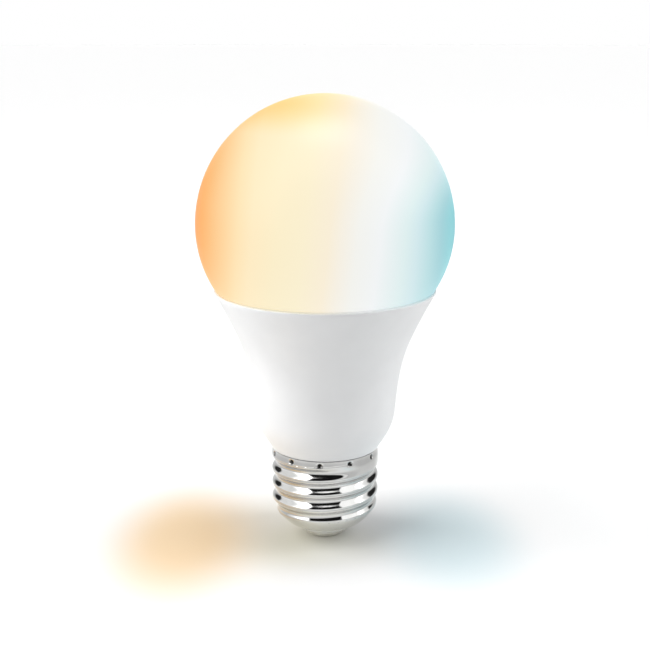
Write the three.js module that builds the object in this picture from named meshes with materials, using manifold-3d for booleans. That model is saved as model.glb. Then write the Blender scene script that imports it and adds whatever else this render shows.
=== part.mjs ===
// A smart LED light bulb: frosted globe, white housing, E26 screw base, and the light engine,
// driver and radio that they hold.
//
// Millimetres. The origin is the middle of the centre contact's flat face, +Z is the bulb's axis
// and runs up to the top of the globe, -Y is the front, and the warm LEDs are on the -X side.

import * as THREE from 'three';
import { mergeVertices } from 'three/addons/utils/BufferGeometryUtils.js';
import Module from 'manifold-3d';

const wasm = await Module();
wasm.setup();

// ---------------------------------------------------------------- driving dimensions

const GAP = 0.3; // between pieces that rest on or surround each other

// Globe
const GLOBE_RADIUS = 30.25;
const GLOBE_CENTRE_Z = 77.25;
const GLOBE_LOWER_DEPTH = 29.1; // the lower half is an ellipse a little shallower than a ball
const GLOBE_WALL = 1.3;
const SKIRT_RADIUS = 24.0; // the ring under the globe that snaps into the housing
const SKIRT_WALL = 1.2;
const SKIRT_DEPTH = 1.9;
const BEAD_WIDTH = 0.7;
const BEAD_HEIGHT = 0.8;

// Housing: a shoulder on the screw shell, a waist, and a flare up to the rim
const SEAM_Z = 62.2; // top of the rim
const RIM_RADIUS = 26.3;
const RIM_CHAMFER = 0.25;
const WAIST_Z = 32;
const WAIST_RADIUS = 16.94;
const SHOULDER_RADIUS = 13.2;
const HOUSING_WALL = 1.35;
const NECK_RADIUS = 11.2; // the stem inside the screw shell
const NECK_INNER_RADIUS = 9.9;
const NECK_BOTTOM_Z = 9.4;

// E26 Edison screw shell, seven turns to the inch
const THREAD_PITCH = 25.4 / 7;
const THREAD_RADIUS = 13.025;
const THREAD_DEPTH = 0.9;
const THREAD_ROWS_PER_TURN = 5;
const COLLAR_RADIUS = 12.9;
const COLLAR_TOP_Z = 23;
const COLLAR_BOTTOM_Z = 21.6;
const SHELL_THICKNESS = 0.35;
const TAPER_TOP_Z = 9.8;
const TAPER_POWER = 1.6;
const SHELL_BOTTOM_Z = 4.3;
const SHELL_MOUTH_RADIUS = 9.9;
const GROOVE_BASE_Z = 6.82; // height of a groove's centre where it crosses the +X side
const GROOVE_START_Z = 7.4;
const GROOVE_END_Z = 20.65;
const GROOVE_RUN_OUT = 0.55; // rise of the helix over which a groove fades
const CRIMP_COUNT = 11;
const CRIMP_FIRST_ANGLE = THREE.MathUtils.degToRad(264.5);
const CRIMP_RADIUS = 0.55;
const CRIMP_DEPTH = 0.2;
const CRIMP_BELOW_RIM = 1.1;

// Centre contact and its insulator
const CONTACT_RADIUS = 5.0;
const CONTACT_FLAT_RADIUS = 3.6;
const CONTACT_ROUND_HEIGHT = 1.1;
const CONTACT_TOP_Z = 1.45;
const CONTACT_SHANK_RADIUS = 1.2;
const CONTACT_SHANK_TOP_Z = 6.9;
const INSULATOR_RADIUS = 9.4; // in the shell's mouth
const INSULATOR_LEDGE = 0.5; // how much wider it is above the mouth
const INSULATOR_TOP_Z = 6.4;

// Heat sink cup, thermal pad and LED board, stacked upwards
const CUP_PLATE_BOTTOM_Z = 57.4;
const CUP_PLATE_TOP_Z = 58.9;
const CUP_RADIUS = 22.7;
const CUP_BOTTOM_Z = 30;
const CUP_BOTTOM_RADIUS = 15;
const CUP_WALL = 1;
const PAD_RADIUS = 20.4;
const PAD_BOTTOM_Z = CUP_PLATE_TOP_Z + GAP;
const PAD_TOP_Z = PAD_BOTTOM_Z + 0.5;
const LED_BOARD_RADIUS = 21;
const LED_BOARD_BOTTOM_Z = PAD_TOP_Z + GAP;
const LED_BOARD_TOP_Z = LED_BOARD_BOTTOM_Z + 1.6;
const LED_BASE_Z = LED_BOARD_TOP_Z + GAP;
const LED_RING_RADIUS = 16.2;
const LED_SIZE = { radial: 2.8, along: 3.5, height: 0.8 };
const LEDS_PER_COLOUR = 8;
const SCREW = { x: 11, holeRadius: 1.6, shankRadius: 1.1, headRadius: 2.2, headHeight: 1.5 };
const SCREW_RECESS = { halfLength: 1.3, halfWidth: 0.3, depth: 0.8 };

// Driver board, standing on edge, with its insulating sleeve
const SLEEVE_WALL = 0.8;
const SLEEVE_BOTTOM_RADIUS = 13.7;
const SLEEVE_TOP_RADIUS = 20;
const SLEEVE_TOP_Z = CUP_PLATE_BOTTOM_Z - 0.5;
const BOARD_BACK_Y = -3.6;
const BOARD_FRONT_Y = -2.4;
const BOARD_BOTTOM_Z = 10.6;
const BOARD_TOP_Z = 54;
const BOARD_NECK = { halfWidth: 8.7, top: 26.5 };
const BOARD_WIDE = { halfWidth: 11.9, bottom: 31, corner: 1 };

// Parts on the driver board
const BULK_CAPACITOR = { radius: 4, x: 0, bottom: 12, top: 25 };
const OUTPUT_CAPACITOR = { radius: 2.9, x: 7.6, bottom: 29.6, top: 37.8 };
const FILM_CAPACITOR = { x: -7.4, width: 6.8, depth: 3.4, bottom: 31, height: 6.6 };
const BRIDGE_RECTIFIER = { x: 0, width: 4.8, depth: 1.6, bottom: 18, height: 4 };
const CONTROLLER_CHIP = { x: 0, width: 5, depth: 1.5, bottom: 33, height: 4 };
const OUTPUT_DIODE = { x: 0, width: 4.4, depth: 2.1, bottom: 43, height: 3.6 };
const FUSIBLE_RESISTOR = { x: -6.4, radius: 1.5, waistRadius: 1.3, bottom: 12, length: 8 };
const VARISTOR = { x: 6.3, z: 17, radius: 3.2, thickness: 2.6 };
const CHOKE = { radius: 3.2, hubRadius: 1.2, flange: 1.2, bottom: 26.4, top: 34.4 };
const CORE = { halfWidth: 6, halfDepth: 2.4, bottom: 38.4, top: 49.6, yoke: 1.8 };
const CORE_WINDOW = { inner: 1.4, outer: 4.6 };
const WINDING_HALF_DEPTH = 4.4;

// Pin headers
const PIN_HALF_WIDTH = 0.32;
const PIN_PITCH = 2.54;
const LED_HEADER = { pins: 4, halfWidth: 5, halfDepth: 1.27, bottom: 50.4, top: 52.9 };
const LED_HEADER_PINS = { bottom: 49, top: 64.4 };
const LED_SOCKET = { halfWidth: 5.2, halfDepth: 1.6, height: 2.8 };
const RADIO_HEADER = { pins: 5, halfWidth: 6.4, depth: 2.5, z: 52.2 };

// Radio board, standing through the slot in the LED board
const RADIO_BOARD = { y: 9.2, halfThickness: 0.5, halfWidth: 7.5, bottom: 40, top: 69 };
const SHIELD_CAN = { halfWidth: 5.5, depth: 1.9, bottom: 42, top: 54 };
const ANTENNA = { legs: 7, pitch: 2, trace: 0.5, thickness: 0.2, height: 4.6, belowTop: 0.8 };

// Leads
const LEAD_RADIUS = 0.6;
const LIVE_ROUTE = [[0, 0, 7.2], [-0.2, -1.2, 8.6], [-2.6, -4.4, 10], [-4.4, -5.4, 13.4]];
const NEUTRAL_ROUTE = [[5, -5.2, 14], [6.2, -5.6, 10.2], [7.6, -6.4, 7.9], [9, -6.8, 7.1]];

// How finely the round pieces are cut
const CASING_SEGMENTS = 36;
const DISC_SEGMENTS = 32;
const SMALL_SEGMENTS = 16;

// Places worked out from the sizes above
const LIP_Z = SEAM_Z + GAP; // the globe's lower edge
const SHELF_Z = COLLAR_TOP_Z + GAP; // the housing's lower edge
const FRONT_Y = BOARD_FRONT_Y + GAP; // where parts on the driver board's front begin
const BACK_Y = BOARD_BACK_Y - GAP; // and those on its back
const LED_HEADER_Y = BACK_Y - LED_HEADER.halfDepth;
const CORE_Y = FRONT_Y + WINDING_HALF_DEPTH;
const RADIO_FACE_Y = RADIO_BOARD.y + RADIO_BOARD.halfThickness + GAP;

// ---------------------------------------------------------------- finishes

const FINISHES = {
  frostedGlobe: { color: 0xfdf4e4, roughness: 0.5, metalness: 0 },
  whitePlastic: { color: 0xf3f3f1, roughness: 0.42, metalness: 0 },
  siliconeBead: { color: 0xeceae4, roughness: 0.6, metalness: 0 },
  nickelPlate: { color: 0xd9d8d4, roughness: 0.18, metalness: 1 },
  contactPlate: { color: 0xdddcd8, roughness: 0.28, metalness: 1 },
  insulator: { color: 0xd9dad6, roughness: 0.5, metalness: 0 },
  aluminium: { color: 0xb9bcc0, roughness: 0.45, metalness: 1 },
  thermalPad: { color: 0x9aa7b5, roughness: 0.8, metalness: 0 },
  whiteMask: { color: 0xf0f0ea, roughness: 0.45, metalness: 0 },
  greenMask: { color: 0x1f6b43, roughness: 0.4, metalness: 0 },
  blueMask: { color: 0x1d3f7a, roughness: 0.4, metalness: 0 },
  warmPhosphor: { color: 0xf2a640, roughness: 0.4, metalness: 0 },
  coolPhosphor: { color: 0xf1ea9a, roughness: 0.4, metalness: 0 },
  steel: { color: 0xb4b6b8, roughness: 0.3, metalness: 1 },
  tinnedCan: { color: 0xc6c8c9, roughness: 0.32, metalness: 1 },
  copper: { color: 0xb96f3d, roughness: 0.35, metalness: 1 },
  goldPlate: { color: 0xd8ad55, roughness: 0.3, metalness: 1 },
  blackEpoxy: { color: 0x1c1d1f, roughness: 0.55, metalness: 0 },
  capacitorSleeve: { color: 0x20252b, roughness: 0.35, metalness: 0 },
  filmCase: { color: 0xc9a227, roughness: 0.45, metalness: 0 },
  varistorCoat: { color: 0x2c56a8, roughness: 0.4, metalness: 0 },
  resistorCoat: { color: 0x6f8f6a, roughness: 0.5, metalness: 0 },
  ferrite: { color: 0x3a3a3d, roughness: 0.7, metalness: 0 },
  polyesterTape: { color: 0xe0b93a, roughness: 0.4, metalness: 0 },
  blackNylon: { color: 0x17181a, roughness: 0.5, metalness: 0 },
  creamNylon: { color: 0xefe8d4, roughness: 0.5, metalness: 0 },
  redWire: { color: 0xb3272a, roughness: 0.45, metalness: 0 },
  whiteWire: { color: 0xe6e6e2, roughness: 0.45, metalness: 0 },
};

// ---------------------------------------------------------------- geometry helpers

// An outline in (radius, height) that runs straight from corner to corner.
function straightOutline(corners) {
  return new THREE.Path(corners.map(([radius, z]) => new THREE.Vector2(radius, z)));
}

// A solid turned about +Z from an outline drawn anticlockwise in (radius, height). The outline
// closes on itself, or starts and ends on the axis.
function turned(outline, segments = SMALL_SEGMENTS, curveSteps = 3) {
  return new THREE.LatheGeometry(outline.getPoints(curveSteps), segments).rotateX(Math.PI / 2);
}

// The turned solid of a ring with a rectangular section.
function ring(innerRadius, outerRadius, bottom, top, segments) {
  const foot = [innerRadius, bottom];
  const corners = [foot, [outerRadius, bottom], [outerRadius, top], [innerRadius, top], foot];
  return turned(straightOutline(corners), segments);
}

function rod(radius, bottom, top, segments = SMALL_SEGMENTS) {
  const height = top - bottom;
  const cylinder = new THREE.CylinderGeometry(radius, radius, height, segments);
  return cylinder.rotateX(Math.PI / 2).translate(0, 0, bottom + height / 2);
}

// A box given by its lowest and highest corners.
function block([x0, y0, z0], [x1, y1, z1]) {
  const box = new THREE.BoxGeometry(x1 - x0, y1 - y0, z1 - z0);
  return box.translate((x0 + x1) / 2, (y0 + y1) / 2, (z0 + z1) / 2);
}

function rectangle(x0, y0, x1, y1) {
  const corners = [[x0, y0], [x1, y0], [x1, y1], [x0, y1]];
  return new THREE.Shape(corners.map(([x, y]) => new THREE.Vector2(x, y)));
}

function circle(x, y, radius) {
  return new THREE.Shape().absarc(x, y, radius, 0, 2 * Math.PI);
}

// A flat outline, drawn in X and Y, given a thickness from bottom to top.
function plate(shape, bottom, top, curveSegments = SMALL_SEGMENTS / 2) {
  const settings = { depth: top - bottom, bevelEnabled: false, curveSegments };
  return new THREE.ExtrudeGeometry(shape, settings).translate(0, 0, bottom);
}

// A flat outline, drawn in X and Z, given a thickness along Y.
function upright(shape, yMin, yMax) {
  const settings = { depth: yMax - yMin, bevelEnabled: false };
  return new THREE.ExtrudeGeometry(shape, settings).rotateX(Math.PI / 2).translate(0, yMax, 0);
}

function wire(points) {
  const extrudePath = new THREE.CatmullRomCurve3(points.map((p) => new THREE.Vector3(...p)));
  const section = circle(0, 0, LEAD_RADIUS);
  return new THREE.ExtrudeGeometry(section, { steps: 10, extrudePath, curveSegments: 4 });
}

function solidOf(geometry) {
  const bare = geometry.clone();
  bare.deleteAttribute('normal');
  bare.deleteAttribute('uv');
  const merged = mergeVertices(bare, 1e-3);
  const vertProperties = merged.attributes.position.array;
  const triVerts = new Uint32Array(merged.index.array);
  return new wasm.Manifold(new wasm.Mesh({ numProp: 3, vertProperties, triVerts }));
}

function geometryOf(solid) {
  const { vertProperties, triVerts } = solid.getMesh();
  const geometry = new THREE.BufferGeometry();
  geometry.setAttribute('position', new THREE.BufferAttribute(vertProperties, 3));
  geometry.setIndex(new THREE.BufferAttribute(triVerts, 1));
  geometry.computeVertexNormals();
  return geometry;
}

function cut(geometry, tools) {
  const left = tools.reduce((solid, tool) => solid.subtract(solidOf(tool)), solidOf(geometry));
  return geometryOf(left);
}

function joined(geometries) {
  const [first, ...rest] = geometries.map(solidOf);
  return geometryOf(rest.reduce((solid, other) => solid.add(other), first));
}

// Calls a function once for each of a number of steps, and lists what it returns.
function repeat(count, make) {
  return Array.from({ length: count }, (_, step) => make(step));
}

function piece(name, geometry, finish) {
  const mesh = new THREE.Mesh(geometry, new THREE.MeshStandardMaterial(FINISHES[finish]));
  mesh.name = name;
  return mesh;
}

function assembly(...children) {
  const group = new THREE.Group();
  group.add(...children);
  return group;
}

// ---------------------------------------------------------------- globe and housing

// The angle at which a lower half ellipse of the globe reaches a height.
function lowerGlobeAngle(z, depth) {
  return -Math.asin((GLOBE_CENTRE_Z - z) / depth);
}

function diffuserGlobe() {
  const innerRadius = GLOBE_RADIUS - GLOBE_WALL;
  const innerDepth = GLOBE_LOWER_DEPTH - GLOBE_WALL;
  const skirtInner = SKIRT_RADIUS - SKIRT_WALL;
  const skirtBottom = SEAM_Z - SKIRT_DEPTH;
  const innerEnd = lowerGlobeAngle(LIP_Z + 1.8, innerDepth);
  const outerStart = lowerGlobeAngle(LIP_Z, GLOBE_LOWER_DEPTH);
  const outline = new THREE.Path();
  outline.moveTo(0, GLOBE_CENTRE_Z + innerRadius);
  outline.absarc(0, GLOBE_CENTRE_Z, innerRadius, Math.PI / 2, 0, true);
  outline.absellipse(0, GLOBE_CENTRE_Z, innerRadius, innerDepth, 0, innerEnd, true);
  outline.lineTo(skirtInner, LIP_Z + 0.6);
  outline.lineTo(skirtInner, skirtBottom);
  outline.lineTo(SKIRT_RADIUS, skirtBottom);
  outline.lineTo(SKIRT_RADIUS, LIP_Z);
  outline.absellipse(0, GLOBE_CENTRE_Z, GLOBE_RADIUS, GLOBE_LOWER_DEPTH, outerStart, 0);
  outline.absarc(0, GLOBE_CENTRE_Z, GLOBE_RADIUS, 0, Math.PI / 2);
  return turned(outline, CASING_SEGMENTS);
}

function housingShell() {
  const seatRadius = COLLAR_RADIUS - SHELL_THICKNESS - GAP;
  const innerWaist = WAIST_RADIUS - HOUSING_WALL;
  const pocketRadius = SKIRT_RADIUS + GAP;
  const pocketFloor = SEAM_Z - SKIRT_DEPTH - GAP;
  const outline = new THREE.Path();
  outline.moveTo(NECK_INNER_RADIUS, NECK_BOTTOM_Z);
  outline.lineTo(NECK_RADIUS, NECK_BOTTOM_Z);
  outline.lineTo(NECK_RADIUS, SHELF_Z - 1.2);
  outline.lineTo(seatRadius, SHELF_Z - 0.5);
  outline.lineTo(seatRadius, SHELF_Z);
  outline.lineTo(SHOULDER_RADIUS, SHELF_Z);
  outline.bezierCurveTo(13.56, 24.5, 16.52, 27.42, WAIST_RADIUS, WAIST_Z);
  outline.bezierCurveTo(18.07, 44.17, 18.39, 47.14, RIM_RADIUS, SEAM_Z - RIM_CHAMFER);
  outline.lineTo(RIM_RADIUS - RIM_CHAMFER, SEAM_Z);
  outline.lineTo(pocketRadius, SEAM_Z);
  outline.lineTo(pocketRadius, pocketFloor);
  outline.lineTo(pocketRadius - 0.6, pocketFloor);
  outline.bezierCurveTo(17.6, 48.2, 16.72, 44.17, innerWaist, WAIST_Z);
  outline.bezierCurveTo(innerWaist - 0.42, 27.42, 11.6, 26.2, NECK_INNER_RADIUS, 24.2);
  outline.closePath();
  return turned(outline, CASING_SEGMENTS, 5);
}

function sealingBead() {
  const innerRadius = SKIRT_RADIUS - 1.7;
  const top = PAD_BOTTOM_Z + BEAD_HEIGHT;
  return ring(innerRadius, innerRadius + BEAD_WIDTH, PAD_BOTTOM_Z, top, DISC_SEGMENTS);
}

// ---------------------------------------------------------------- screw base

// The shell's radius before its thread is rolled.
function plainShellRadius(z) {
  if (z >= COLLAR_BOTTOM_Z) return COLLAR_RADIUS;
  if (z >= TAPER_TOP_Z) return THREAD_RADIUS;
  const taper = ((TAPER_TOP_Z - z) / (TAPER_TOP_Z - SHELL_BOTTOM_Z)) ** TAPER_POWER;
  return THREAD_RADIUS - (THREAD_RADIUS - SHELL_MOUTH_RADIUS) * taper;
}

// How deep the rolled groove is at an angle and a height. The groove's centre climbs one pitch
// in each turn, anticlockwise seen from above, which makes a right-hand thread.
function grooveDepth(angle, z) {
  const turns = angle / (2 * Math.PI);
  const turnsFromCentre = (z - GROOVE_BASE_Z) / THREAD_PITCH - turns;
  const centreZ = GROOVE_BASE_Z + THREAD_PITCH * (turns + Math.round(turnsFromCentre));
  const { smoothstep } = THREE.MathUtils;
  const runIn = smoothstep(centreZ, GROOVE_START_Z, GROOVE_START_Z + GROOVE_RUN_OUT);
  const runOut = 1 - smoothstep(centreZ, GROOVE_END_Z - GROOVE_RUN_OUT, GROOVE_END_Z);
  const roundProfile = (1 + Math.cos(2 * Math.PI * turnsFromCentre)) / 2;
  return THREAD_DEPTH * runIn * runOut * roundProfile;
}

// The heights of the shell's rows of corners, from its mouth to its rim.
function shellRows() {
  const taperRows = repeat(4, (i) => SHELL_BOTTOM_Z + 0.8 * i);
  const step = THREAD_PITCH / THREAD_ROWS_PER_TURN;
  const threadBottom = GROOVE_START_Z + 0.1;
  const count = Math.ceil((COLLAR_BOTTOM_Z - threadBottom) / step);
  const threadRows = repeat(count, (i) => threadBottom + step * i);
  return [...taperRows, ...threadRows, COLLAR_BOTTOM_Z + 0.2, COLLAR_TOP_Z];
}

function rollThread(geometry) {
  const corners = geometry.attributes.position;
  for (let i = 0; i < corners.count; i += 1) {
    const x = corners.getX(i);
    const y = corners.getY(i);
    const depth = grooveDepth(Math.atan2(y, x), corners.getZ(i));
    const scale = 1 - depth / Math.hypot(x, y);
    corners.setXY(i, x * scale, y * scale);
  }
  return geometry;
}

// Small balls around the collar, whose tips press the crimp marks into it.
function crimpPunches() {
  const distance = COLLAR_RADIUS + CRIMP_RADIUS - CRIMP_DEPTH;
  const z = COLLAR_TOP_Z - CRIMP_BELOW_RIM;
  return repeat(CRIMP_COUNT, (i) => {
    const angle = CRIMP_FIRST_ANGLE + (i * 2 * Math.PI) / CRIMP_COUNT;
    const ball = new THREE.SphereGeometry(CRIMP_RADIUS, 8, 6);
    return ball.translate(distance * Math.cos(angle), distance * Math.sin(angle), z);
  });
}

function screwShell() {
  const outer = shellRows().map((z) => [plainShellRadius(z), z]);
  const inner = outer.map(([radius, z]) => [radius - SHELL_THICKNESS, z]).reverse();
  inner[inner.length - 1][1] += SHELL_THICKNESS;
  const blank = turned(straightOutline([...outer, ...inner, outer[0]]), CASING_SEGMENTS);
  return cut(rollThread(blank), crimpPunches());
}

function baseInsulator() {
  const hole = CONTACT_SHANK_RADIUS + GAP;
  const bottom = CONTACT_TOP_Z + GAP;
  const ledgeRadius = INSULATOR_RADIUS + INSULATOR_LEDGE;
  const corners = [
    [hole, bottom],
    [CONTACT_RADIUS + 0.8, bottom],
    [INSULATOR_RADIUS, SHELL_BOTTOM_Z - 0.2],
    [INSULATOR_RADIUS, SHELL_BOTTOM_Z + 0.9],
    [ledgeRadius, SHELL_BOTTOM_Z + 1.5],
    [ledgeRadius, INSULATOR_TOP_Z],
    [hole, INSULATOR_TOP_Z],
    [hole, bottom],
  ];
  return turned(straightOutline(corners), DISC_SEGMENTS);
}

function centreContact() {
  const roundWidth = CONTACT_RADIUS - CONTACT_FLAT_RADIUS;
  const outline = new THREE.Path();
  outline.moveTo(0, 0);
  outline.lineTo(CONTACT_FLAT_RADIUS, 0);
  outline.absellipse(
    CONTACT_FLAT_RADIUS, CONTACT_ROUND_HEIGHT, roundWidth, CONTACT_ROUND_HEIGHT, -Math.PI / 2, 0,
  );
  outline.lineTo(CONTACT_RADIUS, CONTACT_TOP_Z);
  outline.lineTo(CONTACT_SHANK_RADIUS, CONTACT_TOP_Z);
  outline.lineTo(CONTACT_SHANK_RADIUS, CONTACT_SHANK_TOP_Z);
  outline.lineTo(0, CONTACT_SHANK_TOP_Z);
  return turned(outline, 24, 2);
}

// ---------------------------------------------------------------- light engine

function radioSlot() {
  const halfWidth = RADIO_BOARD.halfWidth + 0.5;
  const halfDepth = RADIO_BOARD.halfThickness + 0.7;
  return rectangle(
    -halfWidth, RADIO_BOARD.y - halfDepth, halfWidth, RADIO_BOARD.y + halfDepth,
  );
}

function headerSlot() {
  const { halfWidth } = LED_HEADER;
  return rectangle(-halfWidth, LED_HEADER_Y - 1, halfWidth, LED_HEADER_Y + 1);
}

// The ways through the cup, pad and LED board.
function stackHoles() {
  const screwHoles = [-SCREW.x, SCREW.x].map((x) => circle(x, 0, SCREW.holeRadius));
  return [radioSlot(), headerSlot(), ...screwHoles];
}

function drilledDisc(radius, bottom, top) {
  const disc = circle(0, 0, radius);
  disc.holes.push(...stackHoles());
  return plate(disc, bottom, top, DISC_SEGMENTS / 2);
}

function heatSinkCup() {
  const innerTop = CUP_RADIUS - 1.6;
  const outline = new THREE.Path();
  outline.moveTo(0, CUP_PLATE_BOTTOM_Z);
  outline.lineTo(innerTop, CUP_PLATE_BOTTOM_Z);
  outline.bezierCurveTo(16.1, 47.6, 15.1, 42.5, CUP_BOTTOM_RADIUS - CUP_WALL, CUP_BOTTOM_Z);
  outline.lineTo(CUP_BOTTOM_RADIUS, CUP_BOTTOM_Z);
  outline.bezierCurveTo(16.1, 42.5, 17, 47.2, innerTop + CUP_WALL, CUP_PLATE_BOTTOM_Z);
  outline.lineTo(CUP_RADIUS, CUP_PLATE_TOP_Z);
  outline.lineTo(0, CUP_PLATE_TOP_Z);
  const through = (hole) => plate(hole, CUP_PLATE_BOTTOM_Z - 0.5, CUP_PLATE_TOP_Z + 0.5);
  return cut(turned(outline, DISC_SEGMENTS, 5), stackHoles().map(through));
}

function ledPackage(angle) {
  const { radial, along, height } = LED_SIZE;
  const box = new THREE.BoxGeometry(radial, along, height);
  return box.translate(LED_RING_RADIUS, 0, LED_BASE_Z + height / 2).rotateZ(angle);
}

// Half a ring of LEDs, centred on an angle.
function ledBank(name, centreAngle, finish) {
  const spacing = Math.PI / LEDS_PER_COLOUR;
  return repeat(LEDS_PER_COLOUR, (i) => {
    const angle = centreAngle + (i - (LEDS_PER_COLOUR - 1) / 2) * spacing;
    return piece(`${name}_${i + 1}`, ledPackage(angle), finish);
  });
}

function boardScrew(x) {
  const headTop = LED_BASE_Z + SCREW.headHeight;
  const shank = rod(SCREW.shankRadius, CUP_PLATE_BOTTOM_Z - 0.2, LED_BASE_Z + 0.2, 12);
  const head = rod(SCREW.headRadius, LED_BASE_Z, headTop);
  const { halfLength, halfWidth, depth } = SCREW_RECESS;
  const slot = (halfX, halfY) =>
    block([-halfX, -halfY, headTop - depth], [halfX, halfY, headTop + 1]);
  const recess = [slot(halfLength, halfWidth), slot(halfWidth, halfLength)];
  return cut(joined([shank, head]), recess).translate(x, 0, 0);
}

// A row of square rods along X, each running between two corners given in Y and Z.
function pinRow(count, halfWidth, [y0, z0], [y1, z1]) {
  return repeat(count, (i) => {
    const x = (i - (count - 1) / 2) * PIN_PITCH;
    return block([x - halfWidth, y0, z0], [x + halfWidth, y1, z1]);
  });
}

function ledHeader() {
  const { pins, halfWidth, halfDepth, bottom, top } = LED_HEADER;
  const low = [-halfWidth, LED_HEADER_Y - halfDepth, bottom];
  const body = block(low, [halfWidth, LED_HEADER_Y + halfDepth, top]);
  const pinLow = [LED_HEADER_Y - PIN_HALF_WIDTH, LED_HEADER_PINS.bottom];
  const pinHigh = [LED_HEADER_Y + PIN_HALF_WIDTH, LED_HEADER_PINS.top];
  return joined([body, ...pinRow(pins, PIN_HALF_WIDTH, pinLow, pinHigh)]);
}

function ledSocket() {
  const { halfWidth, halfDepth, height } = LED_SOCKET;
  const top = LED_BASE_Z + height;
  const low = [-halfWidth, LED_HEADER_Y - halfDepth, LED_BASE_Z];
  const body = block(low, [halfWidth, LED_HEADER_Y + halfDepth, top]);
  const half = PIN_HALF_WIDTH + GAP;
  const holeLow = [LED_HEADER_Y - half, LED_BASE_Z - 1];
  return cut(body, pinRow(LED_HEADER.pins, half, holeLow, [LED_HEADER_Y + half, top + 1]));
}

// ---------------------------------------------------------------- driver

function insulatingSleeve() {
  const lidBottom = SLEEVE_TOP_Z - SLEEVE_WALL;
  const innerBottom = SLEEVE_BOTTOM_RADIUS - SLEEVE_WALL;
  const outline = new THREE.Path();
  outline.moveTo(0, lidBottom);
  outline.lineTo(SLEEVE_TOP_RADIUS - SLEEVE_WALL, lidBottom);
  outline.bezierCurveTo(15.3, 47, 13.9, 42, innerBottom, CUP_BOTTOM_Z);
  outline.lineTo(SLEEVE_BOTTOM_RADIUS, CUP_BOTTOM_Z);
  outline.bezierCurveTo(14.7, 42, 16.1, 47, SLEEVE_TOP_RADIUS, lidBottom);
  outline.lineTo(SLEEVE_TOP_RADIUS, SLEEVE_TOP_Z);
  outline.lineTo(0, SLEEVE_TOP_Z);
  const through = (hole) => plate(hole, lidBottom - 1, SLEEVE_TOP_Z + 1);
  return cut(turned(outline, DISC_SEGMENTS, 4), [radioSlot(), headerSlot()].map(through));
}

function driverBoard() {
  const { halfWidth, bottom, corner } = BOARD_WIDE;
  const rightSide = [
    [BOARD_NECK.halfWidth, BOARD_BOTTOM_Z],
    [BOARD_NECK.halfWidth, BOARD_NECK.top],
    [halfWidth, bottom],
    [halfWidth, BOARD_TOP_Z - corner],
    [halfWidth - corner, BOARD_TOP_Z],
  ];
  const leftSide = rightSide.map(([x, z]) => [-x, z]).reverse();
  const corners = [...rightSide, ...leftSide].map(([x, z]) => new THREE.Vector2(x, z));
  return upright(new THREE.Shape(corners), BOARD_BACK_Y, BOARD_FRONT_Y);
}

// A boxy part on the front of the board.
function frontBlock({ x, width, depth, bottom, height }) {
  const low = [x - width / 2, FRONT_Y, bottom];
  return block(low, [x + width / 2, FRONT_Y + depth, bottom + height]);
}

// A boxy part on the back of the board.
function backBlock({ x, width, depth, bottom, height }) {
  const low = [x - width / 2, BACK_Y - depth, bottom];
  return block(low, [x + width / 2, BACK_Y, bottom + height]);
}

// An electrolytic capacitor, with the groove that is rolled above its bung.
function canCapacitor({ radius, x, bottom, top }) {
  const corners = [
    [0, bottom],
    [radius - 0.4, bottom],
    [radius, bottom + 0.5],
    [radius, bottom + 1.4],
    [radius - 0.4, bottom + 1.8],
    [radius, bottom + 2.2],
    [radius, top - 0.5],
    [radius - 0.5, top],
    [0, top],
  ];
  return turned(straightOutline(corners)).translate(x, FRONT_Y + radius, 0);
}

// A coated resistor: a body between two rounder end caps.
function fusibleResistor() {
  const { x, radius, waistRadius, bottom, length } = FUSIBLE_RESISTOR;
  const top = bottom + length;
  const corners = [
    [0, bottom],
    [radius - 0.5, bottom],
    [radius, bottom + 0.6],
    [radius, bottom + 1.4],
    [waistRadius, bottom + 2],
    [waistRadius, top - 2],
    [radius, top - 1.4],
    [radius, top - 0.6],
    [radius - 0.5, top],
    [0, top],
  ];
  return turned(straightOutline(corners), 12).translate(x, FRONT_Y + radius, 0);
}

function varistor() {
  const { x, z, radius, thickness } = VARISTOR;
  const disc = rod(radius, -thickness / 2, thickness / 2);
  return disc.rotateY(Math.PI / 2).translate(x, FRONT_Y + radius, z);
}

function chokeCore() {
  const { radius, hubRadius, flange, bottom, top } = CHOKE;
  const corners = [
    [0, bottom],
    [radius, bottom],
    [radius, bottom + flange],
    [hubRadius, bottom + flange],
    [hubRadius, top - flange],
    [radius, top - flange],
    [radius, top],
    [0, top],
  ];
  return turned(straightOutline(corners)).translate(0, FRONT_Y + radius, 0);
}

function chokeWinding() {
  const { radius, hubRadius, flange, bottom, top } = CHOKE;
  const coil = ring(hubRadius + GAP, radius - 0.4, bottom + flange + GAP, top - flange - GAP);
  return coil.translate(0, FRONT_Y + radius, 0);
}

// A double-E ferrite core: two windows leave a middle leg for the winding.
function transformerCore() {
  const yMin = CORE_Y - CORE.halfDepth;
  const yMax = CORE_Y + CORE.halfDepth;
  const frame = block([-CORE.halfWidth, yMin, CORE.bottom], [CORE.halfWidth, yMax, CORE.top]);
  const low = CORE.bottom + CORE.yoke;
  const high = CORE.top - CORE.yoke;
  const window = (x0, x1) => block([x0, yMin - 1, low], [x1, yMax + 1, high]);
  const left = window(-CORE_WINDOW.outer, -CORE_WINDOW.inner);
  const right = window(CORE_WINDOW.inner, CORE_WINDOW.outer);
  return cut(frame, [left, right]);
}

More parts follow.
